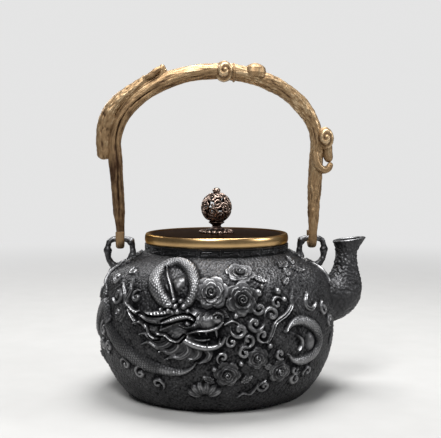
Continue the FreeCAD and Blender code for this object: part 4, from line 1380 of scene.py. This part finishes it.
def bark(along: Array, turns: Array, girth: float, seed: int, coarse: Array | float) -> Array:
    """Bark as a height from about -1 to 1: long fibres, short scaly cells and some deep fissures.

    The section is laid round a circle, and the length is squeezed so that all features run along the branch.

    Args:
        along: Lengths along the branch.
        turns: Angles round it.
        girth: Radius of the branch.
        seed: Which bark it is.
        coarse: Share of scaly cells against fibres, for all or per row.

    Returns:
        Rows by columns.
    """
    ring = np.stack([girth * np.cos(turns), girth * np.sin(turns)], -1)
    where = np.concatenate([
        np.broadcast_to((along * 0.34)[:, None, None], (len(along), len(turns), 1)),
        np.broadcast_to(ring, (len(along), len(turns), 2)),
    ], -1)
    long = where * np.array([0.3, 1.0, 1.0])
    fibre = soft_noise(long, 0.9, seed) + 0.5 * soft_noise(long, 0.5, seed + 7) - 0.75
    cells = 0.55 - pebbles(where + 0.8 * soft_noise(where, 3.0, seed + 3)[..., None], 1.25, seed)
    fissure = -np.exp(-((soft_noise(long, 2.6, seed + 11) - 0.5) / 0.035) ** 2)
    lumps = soft_noise(where, 2.4, seed + 5) - 0.5
    share = np.reshape(coarse, (-1, 1)) if np.ndim(coarse) else coarse
    return fibre * (1.0 - 0.6 * share) + (1.2 * cells + 0.8 * lumps) * share + 0.3 * fissure


@dataclass
class BranchBail:
    """The brass bail: a bough with a hook at each foot, an outer strand, knots, buds and a curled twig.

    Attributes:
        pin_height: Height of the hinge.
        reach: Distance of a hook from the axis.
        half_span: Distance of a leg's top from the axis.
        spring: Height where the legs turn into the arch.
        rise: Height of the arch over the legs.
        hook: Radius of a hook's middle line round its pin.
        tip: Height of a hook's free end over the pin.
        strand_out: How far the strand stands out from the bough's middle line.
        knot_out: Distance of the crown's knot from the axis.
        bud_angle: Place of the bud on the arch in degrees.
    """

    pin_height: float = 101.7
    reach: float = 64.4
    half_span: float = 67.6
    spring: float = 164.0
    rise: float = 49.0
    hook: float = 4.3
    tip: float = 5.0
    strand_out: float = 8.8
    knot_out: float = 5.0
    bud_angle: float = 67.8

    def arch(self, angle: Array | float) -> tuple[Array, Array]:
        """Points and outward directions of the arch's middle line, half an ellipse.

        Args:
            angle: Angles in degrees, 180 at the rear leg and 0 at the front leg.

        Returns:
            Points and unit vectors.
        """
        turn = np.radians(np.atleast_1d(angle))
        flat = np.zeros_like(turn)
        points = np.stack([self.half_span * np.cos(turn), flat, self.spring + self.rise * np.sin(turn)], -1)
        out = np.stack([self.rise * np.cos(turn), flat, self.half_span * np.sin(turn)], -1)
        return points, out / np.linalg.norm(out, axis=1, keepdims=True)

    def leg(self) -> tuple[Array, Array]:
        """The rear foot's middle line from the hook's free end up to the arch, and its half widths.

        Returns:
            Points, and half widths along X and square to it.
        """
        pin = self.pin_height
        bow = arc((0.0, pin), self.hook, 180.0, 360.0, 40)
        up = spline([
            (self.hook, pin), (self.hook, pin + 7.0), (0.55 * self.hook, pin + 18.8), (0.0, pin + 40.5),
            (0.0, self.spring),
        ], 120)
        track = even(np.concatenate([[(-self.hook, pin + self.tip)], bow, up[1:]]), 170)
        lift = np.clip((track[:, 1] - pin - self.tip) / (self.spring - pin - self.tip), 0.0, 1.0)
        lift = np.where((track[:, 0] < 0.0) & (track[:, 1] < pin + 6.0), 0.0, lift)
        points = np.stack([-self.reach - (self.half_span - self.reach) * lift, track[:, 0], track[:, 1]], -1)
        marks = (0.0, 0.05, 0.22, 0.6, 1.0)
        across = np.interp(lift, marks, (2.8, 3.0, 4.1, 4.45, 4.5))
        deep = np.interp(lift, marks, (2.2, 2.4, 3.7, 4.1, 4.15))
        return points, np.stack([across, deep], -1)

    def bough(self) -> Sheet:
        """The whole bough from free end to free end.

        Returns:
            Its sheet.
        """
        rear, wide = self.leg()
        angle = np.linspace(180.0, 0.0, 342)[1:-1]
        over, out = self.arch(angle)
        turn = np.abs(angle - 90.0)
        thick = np.interp(turn, (0.0, 22.0, 45.0, 68.0, 90.0), (5.1, 5.25, 5.5, 5.0, 4.5))
        path = np.concatenate([rear, over, rear[::-1] * (-1.0, -1.0, 1.0)])
        aside = np.tile([-1.0, 0.0, 0.0], (len(rear), 1))
        side = np.concatenate([aside, out, -aside])
        across = np.concatenate([wide[:, 0], thick, wide[::-1, 0]])
        deep = np.concatenate([wide[:, 1], 0.92 * thick, wide[::-1, 1]])
        along = lengths(path)
        from_end = np.minimum(along, along[-1] - along)
        turns = round_turns(80)
        square = 2.0 + 0.9 * (1.0 - ramp(from_end, 16.0, 36.0))[:, None]
        corner = (np.abs(np.cos(turns)) ** square + np.abs(np.sin(turns)) ** square) ** (-1.0 / square)
        share = along / along[-1]
        coarse = np.interp(share, (0.0, 0.1, 0.2, 0.33, 0.5, 0.58, 0.9, 1.0),
                           (0.4, 0.4, 0.5, 0.25, 0.3, 0.9, 0.9, 0.6))
        rough = bark(along, turns, 4.8, 21, coarse)
        grown = ramp(from_end, 20.0, 34.0)[:, None]
        rear_leg = (1.0 - ramp(share, 0.34, 0.42)) * ramp(along, 30.0, 50.0)

        def seam(middle: float, sway: float, pace: float, spread: float) -> Array:
            """A furrow along the branch at an angle in degrees, which sways by a sine of the length."""
            offset = turns - math.radians(middle) - sway * np.sin(along / pace)[:, None]
            return -np.exp(-(offset / spread) ** 2)

        furrows = rear_leg[:, None] * (seam(104.0, 0.12, 9.0, 0.12) + 0.7 * seam(146.0, -0.1, 7.0, 0.1))
        swell = 0.35 * (soft_noise(np.stack([along, 0 * along, 0 * along], -1), 14.0, 5) - 0.5)[:, None]
        lift = grown * (0.6 * rough + 2.0 * swell) + 1.15 * furrows
        points = tube(path, side, across[:, None] * corner + lift, deep[:, None] * corner + lift, turns)
        shade = np.clip(0.55 + grown * 0.72 * rough + 0.5 * furrows, 0.0, 1.0)
        # Painted shade: the bough is painted darker along its lower legs, most of all on the rear leg, as the
        # shade below the lit crown.
        dark = np.interp(along, (0.0, 20.0, 62.0, 125.0, along[-1] - 110.0, along[-1] - 30.0),
                         (0.7, 0.36, 0.4, 1.0, 1.0, 0.74))[:, None]
        return Sheet(points, False, shade * dark)

    def strand(self) -> Sheet:
        """The outer strand on the rear shoulder, from its thin end near the crown to its cut end by the leg.

        Returns:
            Its sheet.
        """
        angle = np.array((117.0, 122.0, 129.0, 137.0, 146.0, 156.0, 166.0, 176.0))
        stand = self.strand_out * np.array((0.80, 0.76, 0.72, 0.74, 0.86, 1.0, 1.0, 0.92))
        middle, out = self.arch(angle)
        low = [(-self.half_span - 7.6, 0.0, 161.0), (-self.half_span - 6.6, 0.0, 154.6)]
        path = spline(list(middle + out * stand[:, None]) + low, 150)
        along = lengths(path)
        share = along / along[-1]
        thick = np.interp(share, (0.0, 0.05, 0.2, 0.42, 0.62, 0.86, 1.0), (1.2, 2.2, 3.1, 4.1, 4.7, 4.3, 3.8))
        thick = thick * np.maximum(rounding(share, 0.95, 0.05), 0.1)
        turns = round_turns(64)
        side = np.cross(np.tile([0.0, 1.0, 0.0], (len(path), 1)), np.gradient(path, axis=0))
        rough = bark(along, turns, 4.4, 33, 0.95)
        step = 2.0 * ramp(share, 0.585, 0.62)[:, None] * np.cos(turns).clip(0.0, 1.0)
        across = thick[:, None] + 0.6 * rough + step
        points = tube(path, -side, across, 0.95 * thick[:, None] + 0.6 * rough, turns)
        # Painted shade: the strand is painted darker towards its lower end beside the rear leg.
        shade = np.clip(0.62 + 0.68 * rough, 0.0, 1.0) * (1.0 - 0.35 * ramp(share, 0.8, 1.0))[:, None]
        return Sheet(points, False, shade)

    @staticmethod
    def nub(foot: tuple, head: tuple, wide: tuple, seed: int) -> Sheet:
        """A short stub or bud between two points.

        Args:
            foot: Where it leaves the branch.
            head: Where it ends.
            wide: Half widths, evenly spread along it.
            seed: Which bark it has.

        Returns:
            Its sheet.
        """
        path = even(np.array([foot, head], float), 48)
        share = np.linspace(0.0, 1.0, len(path))
        close = rounding(share, 0.72, 0.28) * 0.96 + 0.04
        half = np.interp(share, np.linspace(0.0, 1.0, len(wide)), wide) * close
        turns = round_turns(40)
        along = share * np.linalg.norm(path[-1] - path[0])
        rough = bark(along, turns, max(wide), seed, 0.8) * close[:, None]
        side = np.tile([0.0, -1.0, 0.15], (len(path), 1))
        radius = half[:, None] + 0.3 * rough
        return Sheet(tube(path, side, radius, radius, turns), False, np.clip(0.55 + 0.4 * rough, 0.0, 1.0))

    @staticmethod
    def twig(spots: list, wide: tuple, seed: int) -> Sheet:
        """A thin curved twig through points.

        Args:
            spots: Points that it passes.
            wide: Half widths, evenly spread along it.
            seed: Which bark it has.

        Returns:
            Its sheet.
        """
        path = spline(spots, 70)
        along = lengths(path)
        share = along / along[-1]
        close = rounding(share, 0.9, 0.1) * 0.95 + 0.05
        half = np.interp(share, np.linspace(0.0, 1.0, len(wide)), wide) * close
        turns = round_turns(32)
        rough = bark(along, turns, max(wide), seed, 0.7) * close[:, None]
        side = np.tile([0.0, -1.0, 0.0], (len(path), 1))
        radius = half[:, None] + 0.28 * rough
        return Sheet(tube(path, side, radius, radius, turns), False, np.clip(0.55 + 0.4 * rough, 0.0, 1.0))

    @staticmethod
    def swirled(middle: Array, wide: tuple) -> Sheet:
        """A round knot with a spiral on two sides: an ellipsoid with a spiral wave round its two poles.

        Args:
            middle: Its middle.
            wide: Half widths along the three axes.

        Returns:
            Its sheet.
        """
        tilt = np.radians(np.linspace(4.0, 176.0, 72))[:, None]
        turns = round_turns(96)
        sine, cosine = np.sin(tilt), np.cos(tilt)
        swirl = np.sin(turns + 8.0 * tilt) * np.abs(cosine) ** 0.6 * ramp(sine, 0.0, 0.3)
        out = np.stack(np.broadcast_arrays(sine * np.cos(turns), -cosine, sine * np.sin(turns)), -1)
        grain = soft_noise(6.0 * out, 1.5, 9) - 0.5
        ball = out * (np.array(wide) + (0.5 * swirl + 0.4 * grain)[..., None]) + middle
        return Sheet(ball, False, np.clip(0.64 + 0.5 * swirl + 0.3 * grain, 0.0, 1.0))

    def knot(self) -> list[Sheet]:
        """The round knot at the crown and the collar beside it.

        Returns:
            Two sheets.
        """
        middle = self.arch(math.degrees(math.acos(self.knot_out / self.half_span)))[0][0]
        ball = self.swirled(middle, (6.3, 8.8, 6.9))
        around, across = np.meshgrid(round_turns(24), round_turns(96), indexing="ij")
        ring = 5.5 + 0.9 * np.cos(around)
        collar = np.stack([
            middle[0] + 6.4 + 0.8 * np.sin(around), ring * np.cos(across),
            middle[2] - 0.7 + ring * np.sin(across),
        ], -1)
        # Painted shade: the collar is kept dark, darkest on its inner side against the bough, for the shaded
        # groove beside the knot.
        return [ball, Sheet(collar, True, 0.25 + 0.25 * np.cos(around))]

    def build(self, brass: bpy.types.Material) -> None:
        """Makes the bail.

        Args:
            brass: Its material.
        """
        bud = self.arch(self.bud_angle)[0][0]
        burl = self.swirled(np.array([72.6, -0.6, 168.8]), (6.0, 7.8, 7.4))
        hanging = self.nub((73.6, 0.0, 166.0), (75.8, 0.0, 152.6), (4.0, 3.6, 3.2, 2.9), 43)
        curl = self.twig(
            [(65.4, -2.6, 159.0), (66.8, -3.6, 152.0), (70.8, -3.2, 147.8), (75.0, -2.0, 148.8),
             (76.8, -1.4, 152.8)],
            (2.9, 2.9, 2.7, 2.4, 2.0), 45,
        )
        first = self.nub((-37.0, 0.0, 205.0), (-35.6, 0.0, 217.4), (3.0, 2.9, 2.6, 2.4), 47)
        second = self.nub((-44.6, 0.0, 199.0), (-48.6, 0.0, 210.0), (3.0, 2.8, 2.4, 2.1), 49)
        sprig = self.twig(
            [(-48.0, -1.2, 207.4), (-44.0, -2.6, 209.4), (-40.0, -2.4, 212.8), (-36.4, -1.2, 215.0)],
            (1.6, 2.0, 2.0, 1.7), 53,
        )
        hump = self.nub(tuple(bud), tuple(bud + np.array([0.6, 0.0, 9.2])), (7.2, 7.4, 6.6, 3.8), 51)
        add_piece("branch_bough", [self.bough()], Body.BAIL, brass, ("bail",))
        add_piece("branch_strand", [self.strand(), first, second, sprig], Body.BAIL, brass)
        add_piece("branch_knots", [*self.knot(), hump, burl, hanging, curl], Body.BAIL, brass)


# The lid and its knob


@dataclass
class KettleLid:
    """The flat lid: a bright rolled edge round a dark polished plate.

    Attributes:
        rim: Height of the pot's rim, on which it lies.
        top: Height of its top.
        radius: Its outer radius.
        bore: Radius of the hole for the knob's bolt.
        neck: Outer radius of the pot's neck.
        skirt: Height of the lower edge of its bright band.
        bulge: How far the bright band stands out; its section is part of an ellipse.
        tuck: Angle in degrees by which that ellipse runs on below its widest place.
        plate: Depth of the plate's underside below its top.
        lip: Radius at which the plate meets the rolled edge.
    """

    rim: float = 101.0
    top: float = 105.8
    radius: float = 48.0
    bore: float = 1.6
    neck: float = 47.0
    skirt: float = 99.5
    bulge: float = 1.3
    tuck: float = 65.0
    plate: float = 2.2
    lip: float = 44.2

    def build(self, brass: bpy.types.Material) -> None:
        """Makes the lid: an outline of plate, lip and rolled edge, turned about the axis.

        Args:
            brass: Its material.
        """
        turn = np.radians(np.linspace(-self.tuck, 96.0, 30))
        tall = (self.top - self.skirt) / (1.0 + math.sin(math.radians(self.tuck)))
        edge = np.stack([
            self.radius - self.bulge * (1.0 - np.cos(turn)), self.top - tall * (1.0 - np.sin(turn)),
        ], -1)
        inside = self.neck + 0.2
        roll = [(self.lip, self.rim), (inside, self.rim), (inside, self.skirt + 0.3), *edge]
        under = [(out, self.top - self.plate) for out in (self.bore, 40.0, self.lip)]
        plate = [
            (43.9, self.top - 0.35), (43.4, self.top - 0.55), (42.6, self.top - 0.42), (38.0, self.top - 0.3),
            (26.0, self.top - 0.1), (14.0, self.top), (self.bore, self.top),
        ]
        shade = [0.1] * 3 + [0.4] + [0.95] * (len(roll) - 1) + [0.45, 0.2] + [0.03] * 5
        turned = lathe(under + roll + plate, 256, True, np.array(shade))
        add_piece("lid_turned", [turned], Body.LID, brass, ("lid_plate",), 40.0)


@dataclass
class PiercedKnob:
    """The knob: a petalled seat, a stem with a cup, a ball of scrollwork and a bright bead.

    Attributes:
        foot: Height of the lid's top.
        seat: Radius of the petalled seat.
        petals: How many petals it has.
        middle: Height of the ball's middle.
        ball: Radius of the ball.
        scrolls: How many scrolls the ball has.
        bore: Radius of the hole through seat and stem.
        bolt_end: Height of the bolt's lower end.
        spread: Angle in degrees that a scroll reaches from its middle.
        winds: Turns of a scroll.
        bar: Half width of a scroll's bar at its outer end.
    """

    foot: float = 105.8
    seat: float = 11.7
    petals: int = 18
    middle: float = 122.6
    ball: float = 10.4
    scrolls: int = 26
    bore: float = 1.65
    bolt_end: float = 88.6
    spread: float = 23.0
    winds: float = 1.55
    bar: float = 0.92

    def rosette(self) -> Sheet:
        """The petalled seat: rings whose edge and height follow a lobed wave.

        Returns:
            Its sheet.
        """
        turns = round_turns(self.petals * 16)
        lobe = np.abs(np.cos(self.petals * turns / 2.0)) ** 0.55
        far = np.array([self.bore, 3.0, 5.0, 5.6, 6.2, 7.4, 8.6, 9.8, 10.8, 11.4, self.seat])
        tall = np.array([2.4, 2.4, 2.3, 1.5, 1.35, 1.9, 2.2, 2.15, 1.8, 1.3, 0.7])
        spread = ramp(far, 5.6, 8.0)[:, None]
        radius = far[:, None] * (1.0 - 0.085 * spread * (1.0 - lobe))
        height = self.foot + tall[:, None] * (1.0 - 0.62 * spread * (1.0 - lobe))
        upper = np.stack([radius * np.cos(turns), radius * np.sin(turns), height], -1)
        lower = upper[::-1].copy()
        lower[..., 2] = self.foot + 0.02
        # The outer petal lobes get higher ridge values, so they are painted light, as wear on raised edges
        # and a painted highlight.
        shade = np.concatenate([np.clip(0.25 + 0.6 * spread * lobe, 0.0, 1.0), np.zeros(lower.shape[:2])])
        return Sheet(np.concatenate([upper, lower]), True, shade)

    def scroll(self, pole: Array, spin: float, hand: float) -> Sheet:
        """One scroll on the ball: a round bar along a flat spiral that is laid on the sphere.

        Args:
            pole: Direction of its middle.
            spin: Turn of its outer end.
            hand: 1 or -1, the way that it winds.

        Returns:
            Its sheet.
        """
        part = np.linspace(0.0, 1.0, 54)
        angle = spin + hand * TAU * self.winds * part
        far = np.radians(self.spread) * (1.0 - 0.82 * part ** 0.8)
        first = np.cross(pole, [0.31, 0.2, 0.93])
        first /= np.linalg.norm(first)
        second = np.cross(pole, first)
        out = (
            pole * np.cos(far)[:, None]
            + (first * np.cos(angle)[:, None] + second * np.sin(angle)[:, None]) * np.sin(far)[:, None]
        )
        half = self.bar - 0.12 * part
        centre = np.array([0.0, 0.0, self.middle])
        shape = tube(centre + out * (self.ball - 0.75), out, half * 0.9, half, round_turns(10))
        # Painted shade and highlight: a bar is dark on its side towards the ball's hollow inside, where shade
        # falls, and light on its outer top.
        far_out = np.linalg.norm(shape - centre, axis=-1)
        return Sheet(shape, False, np.clip((far_out - self.ball + 1.6) / 1.7, 0.0, 1.0))

    def build(self, bronze: bpy.types.Material) -> None:
        """Makes the knob.

        Args:
            bronze: Its material.
        """
        add_piece("knob_petals", [self.rosette()], Body.LID, bronze, ("knob_rosette",))
        step = np.arange(self.scrolls) + 0.5
        up = 0.93 * (1.0 - 2.0 * step / self.scrolls)
        turn = step * math.pi * (1.0 + math.sqrt(5.0))
        level = np.sqrt(1.0 - up * up)
        poles = np.stack([level * np.cos(turn), level * np.sin(turn), up], -1)
        scrolls = [
            self.scroll(pole, 2.4 * number, 1.0 - 2.0 * (number % 2)) for number, pole in enumerate(poles)
        ]
        top, low = self.middle + self.ball, self.middle - self.ball
        rings = [
            lathe([(2.1, top - 0.5), (3.6, top - 0.9), (3.8, top - 1.5), (2.2, top - 1.3)], 48, True, 0.5),
            lathe([(2.1, low + 0.6), (4.4, low + 1.2), (4.6, low + 1.9), (2.2, low + 1.4)], 48, True, 0.5),
        ]
        add_piece("knob_scrollwork", scrolls + rings, Body.LID, bronze, ("knob_ball",))
        stem = [(out, self.foot + rise) for out, rise in (
            (self.bore, 2.42), (4.8, 2.42), (4.7, 3.0), (3.4, 3.7), (2.9, 4.6), (3.3, 5.4), (4.8, 6.3),
            (5.4, 6.9), (5.2, 7.3), (self.bore, 7.0),
        )]
        add_piece("knob_stalk", [lathe(stem, 64, True, 0.45)], Body.LID, bronze, ("knob_stem",))
        bead = [(1.5, self.bolt_end), (1.5, top - 0.4), (2.2, top - 0.35)]
        bead += [
            (2.7 * math.cos(tilt), top + 0.9 + 2.0 * math.sin(tilt)) for tilt in np.linspace(-0.9, 1.45, 14)
        ]
        # The bead gets a ridge value near 1, the brightest bronze colour, for its own polish and a painted
        # highlight.
        add_piece("knob_bead", [lathe(bead, 48, False, 0.95)], Body.LID, bronze, ("knob_bolt",))


# The studio


PALE = colour(0.78, 0.78, 0.78)
AIM = Vector((0.0, 0.0, 0.09))


@dataclass
class Studio:
    """A pale floor, soft lamps and the camera.

    Attributes:
        turn: Direction of the camera from the front, in degrees.
        away: Level distance of the camera from the kettle's axis.
        eye: Height of the camera.
        drop: Angle that it looks down, in degrees.
        swing: Angle that it looks to the right of the axis, in degrees.
        lens: Focal length for a sensor of 36 mm.
    """

    turn: float = -3.0
    away: float = 606.0
    eye: float = 157.0
    drop: float = 3.98
    swing: float = 0.253
    lens: float = 73.96

    def camera(self) -> None:
        """Makes the camera and names it the scene's own."""
        lens = bpy.data.cameras.new("camera")
        lens.lens = self.lens
        lens.sensor_width = 36.0
        lens.clip_start, lens.clip_end = 0.01, 20.0
        eye = bpy.data.objects.new("camera", lens)
        turn, drop = math.radians(self.turn), math.radians(self.drop)
        eye.location = Vector((math.sin(turn), -math.cos(turn), 0.0)) * self.away * MM
        eye.location.z = self.eye * MM
        eye.rotation_euler = (math.pi / 2.0 - drop, 0.0, turn - math.radians(self.swing))
        bpy.context.scene.collection.objects.link(eye)
        bpy.context.scene.camera = eye

    @staticmethod
    def floor_material() -> bpy.types.Material:
        """The floor's paint: softly mottled near the kettle and evenly pale to the camera far away.

        Returns:
            The material.
        """
        made = bpy.data.materials.new("pale_floor")
        made.use_nodes = True
        tree = made.node_tree
        shader = tree.nodes["Principled BSDF"]
        place = node(tree, "TexCoord").outputs["Object"]
        speck = node(tree, "TexNoise", {"Vector": place, "Scale": 40.0, "Detail": 6.0})
        tint = blend(tree, speck.outputs[0], colour(0.36, 0.357, 0.35), colour(0.40, 0.397, 0.39))
        tree.links.new(tint, shader.inputs["Base Color"])
        shader.inputs["Roughness"].default_value = 0.8
        shader.inputs["Specular IOR Level"].default_value = 0.1
        far = node(tree, "VectorMath", {0: place}, operation="LENGTH").outputs["Value"]
        fade = node(tree, "MapRange", {"Value": far, 1: 0.28, 2: 1.1}, interpolation_type="SMOOTHSTEP")
        seen = maths(tree, "MULTIPLY", fade.outputs[0], node(tree, "LightPath").outputs["Is Camera Ray"])
        plain = node(tree, "Emission", {"Color": PALE, "Strength": 1.0})
        both = node(tree, "MixShader", {0: seen, 1: shader.outputs[0], 2: plain.outputs[0]})
        tree.links.new(both.outputs[0], tree.nodes["Material Output"].inputs["Surface"])
        return made

    def floor(self) -> None:
        """Makes the floor, a wide sheet in metres that turns up far behind the kettle."""
        bend = np.linspace(0.1, 1.5, 14)
        along = np.concatenate([np.linspace(-3.0, 1.6, 12), 1.6 + np.sin(bend), [2.62, 2.63]])
        up = np.concatenate([np.zeros(12), 1.0 - np.cos(bend), [1.6, 3.0]])
        wide = np.linspace(-4.0, 4.0, 5)
        spots = np.stack(np.broadcast_arrays(wide, along[:, None], up[:, None]), -1).reshape(-1, 3)
        index = np.arange(len(spots)).reshape(len(along), len(wide))
        faces = np.stack([index[:-1, :-1], index[:-1, 1:], index[1:, 1:], index[1:, :-1]], -1).reshape(-1, 4)
        mesh = bpy.data.meshes.new("floor")
        mesh.from_pydata(spots.tolist(), [], faces.tolist())
        mesh.polygons.foreach_set("use_smooth", np.ones(len(faces), dtype=bool))
        mesh.materials.append(self.floor_material())
        floor = bpy.data.objects.new("floor", mesh)
        bpy.context.scene.collection.objects.link(floor)

    @staticmethod
    def lamp(name: str, place: tuple, size: float, watts: float) -> None:
        """Makes a square soft lamp that faces the kettle.

        Args:
            name: Name of the lamp.
            place: Where it is, in metres.
            size: Its edge in metres.
            watts: Its power.
        """
        light = bpy.data.lights.new(name, "AREA")
        light.shape, light.size, light.energy = "SQUARE", size, watts
        lamp = bpy.data.objects.new(name, light)
        lamp.location = place
        aim = AIM - Vector(place)
        lamp.rotation_euler = aim.to_track_quat("-Z", "Y").to_euler()
        bpy.context.scene.collection.objects.link(lamp)

    def light(self) -> None:
        """Sets the surroundings, pale to the camera and dim for the metal, and the lamps."""
        scene = bpy.context.scene
        scene.view_settings.view_transform = "Standard"
        scene.world = scene.world or bpy.data.worlds.new("world")
        scene.world.use_nodes = True
        tree = scene.world.node_tree
        dim = tree.nodes["Background"]
        dim.inputs["Color"].default_value = colour(0.80, 0.82, 0.86)
        dim.inputs["Strength"].default_value = 0.16
        pale = node(tree, "Background", {"Color": PALE, "Strength": 1.0})
        seen = node(tree, "LightPath").outputs["Is Camera Ray"]
        both = node(tree, "MixShader", {0: seen, 1: dim.outputs[0], 2: pale.outputs[0]})
        tree.links.new(both.outputs[0], tree.nodes["World Output"].inputs["Surface"])
        for name, place, size, watts in (
            ("key_lamp", (-0.26, -0.78, 1.12), 0.38, 16.5), ("top_lamp", (0.06, 0.12, 1.0), 0.5, 15.0),
            ("right_lamp", (0.95, -0.25, 0.55), 0.32, 4.0), ("back_lamp", (-0.7, 0.75, 0.7), 0.4, 5.0),
        ):
            self.lamp(name, place, size, watts)

    def build(self) -> None:
        """Makes camera, floor and lamps."""
        self.camera()
        self.floor()
        self.light()


def dress_plain_nodes(looks: dict[Slot, bpy.types.Material]) -> None:
    """Gives each node of the frame that stays in view its finish.

    Args:
        looks: The material of each slot.
    """
    slots = {row["node"]: row["material_slot"] for row in frame["record"]["subparts"]}
    for name, part in frame["nodes"].items():
        if part.hide_render:
            continue
        part.data.materials.clear()
        part.data.materials.append(looks[Slot(slots[name])])
        LOG.info("%s keeps its own shape", name)


def main() -> None:
    """Builds the pieces in order and reports them."""
    logging.basicConfig(level=logging.INFO, format="%(message)s")
    grain, patina_and_shade = grain_group(), patina_and_shade_group()
    finishes = {Slot.IRON: IRON, Slot.BRANCH: BRANCH, Slot.LID: LID, Slot.KNOB: BRONZE, Slot.PLAIN: PLAIN}
    looks = {slot: finish.material(grain, patina_and_shade) for slot, finish in finishes.items()}
    form = PotForm()
    PotCasting(form).build(looks[Slot.IRON])
    SpoutCasting(form).build(looks[Slot.IRON])
    RingLug("front_ring", "front_lug", 1.0).build(looks[Slot.IRON])
    RingLug("rear_ring", "rear_lug", -1.0).build(looks[Slot.IRON])
    BranchBail().build(looks[Slot.BRANCH])
    KettleLid().build(looks[Slot.LID])
    PiercedKnob().build(looks[Slot.KNOB])
    dress_plain_nodes(looks)
    Studio().build()


if __name__ == "__main__":
    main()
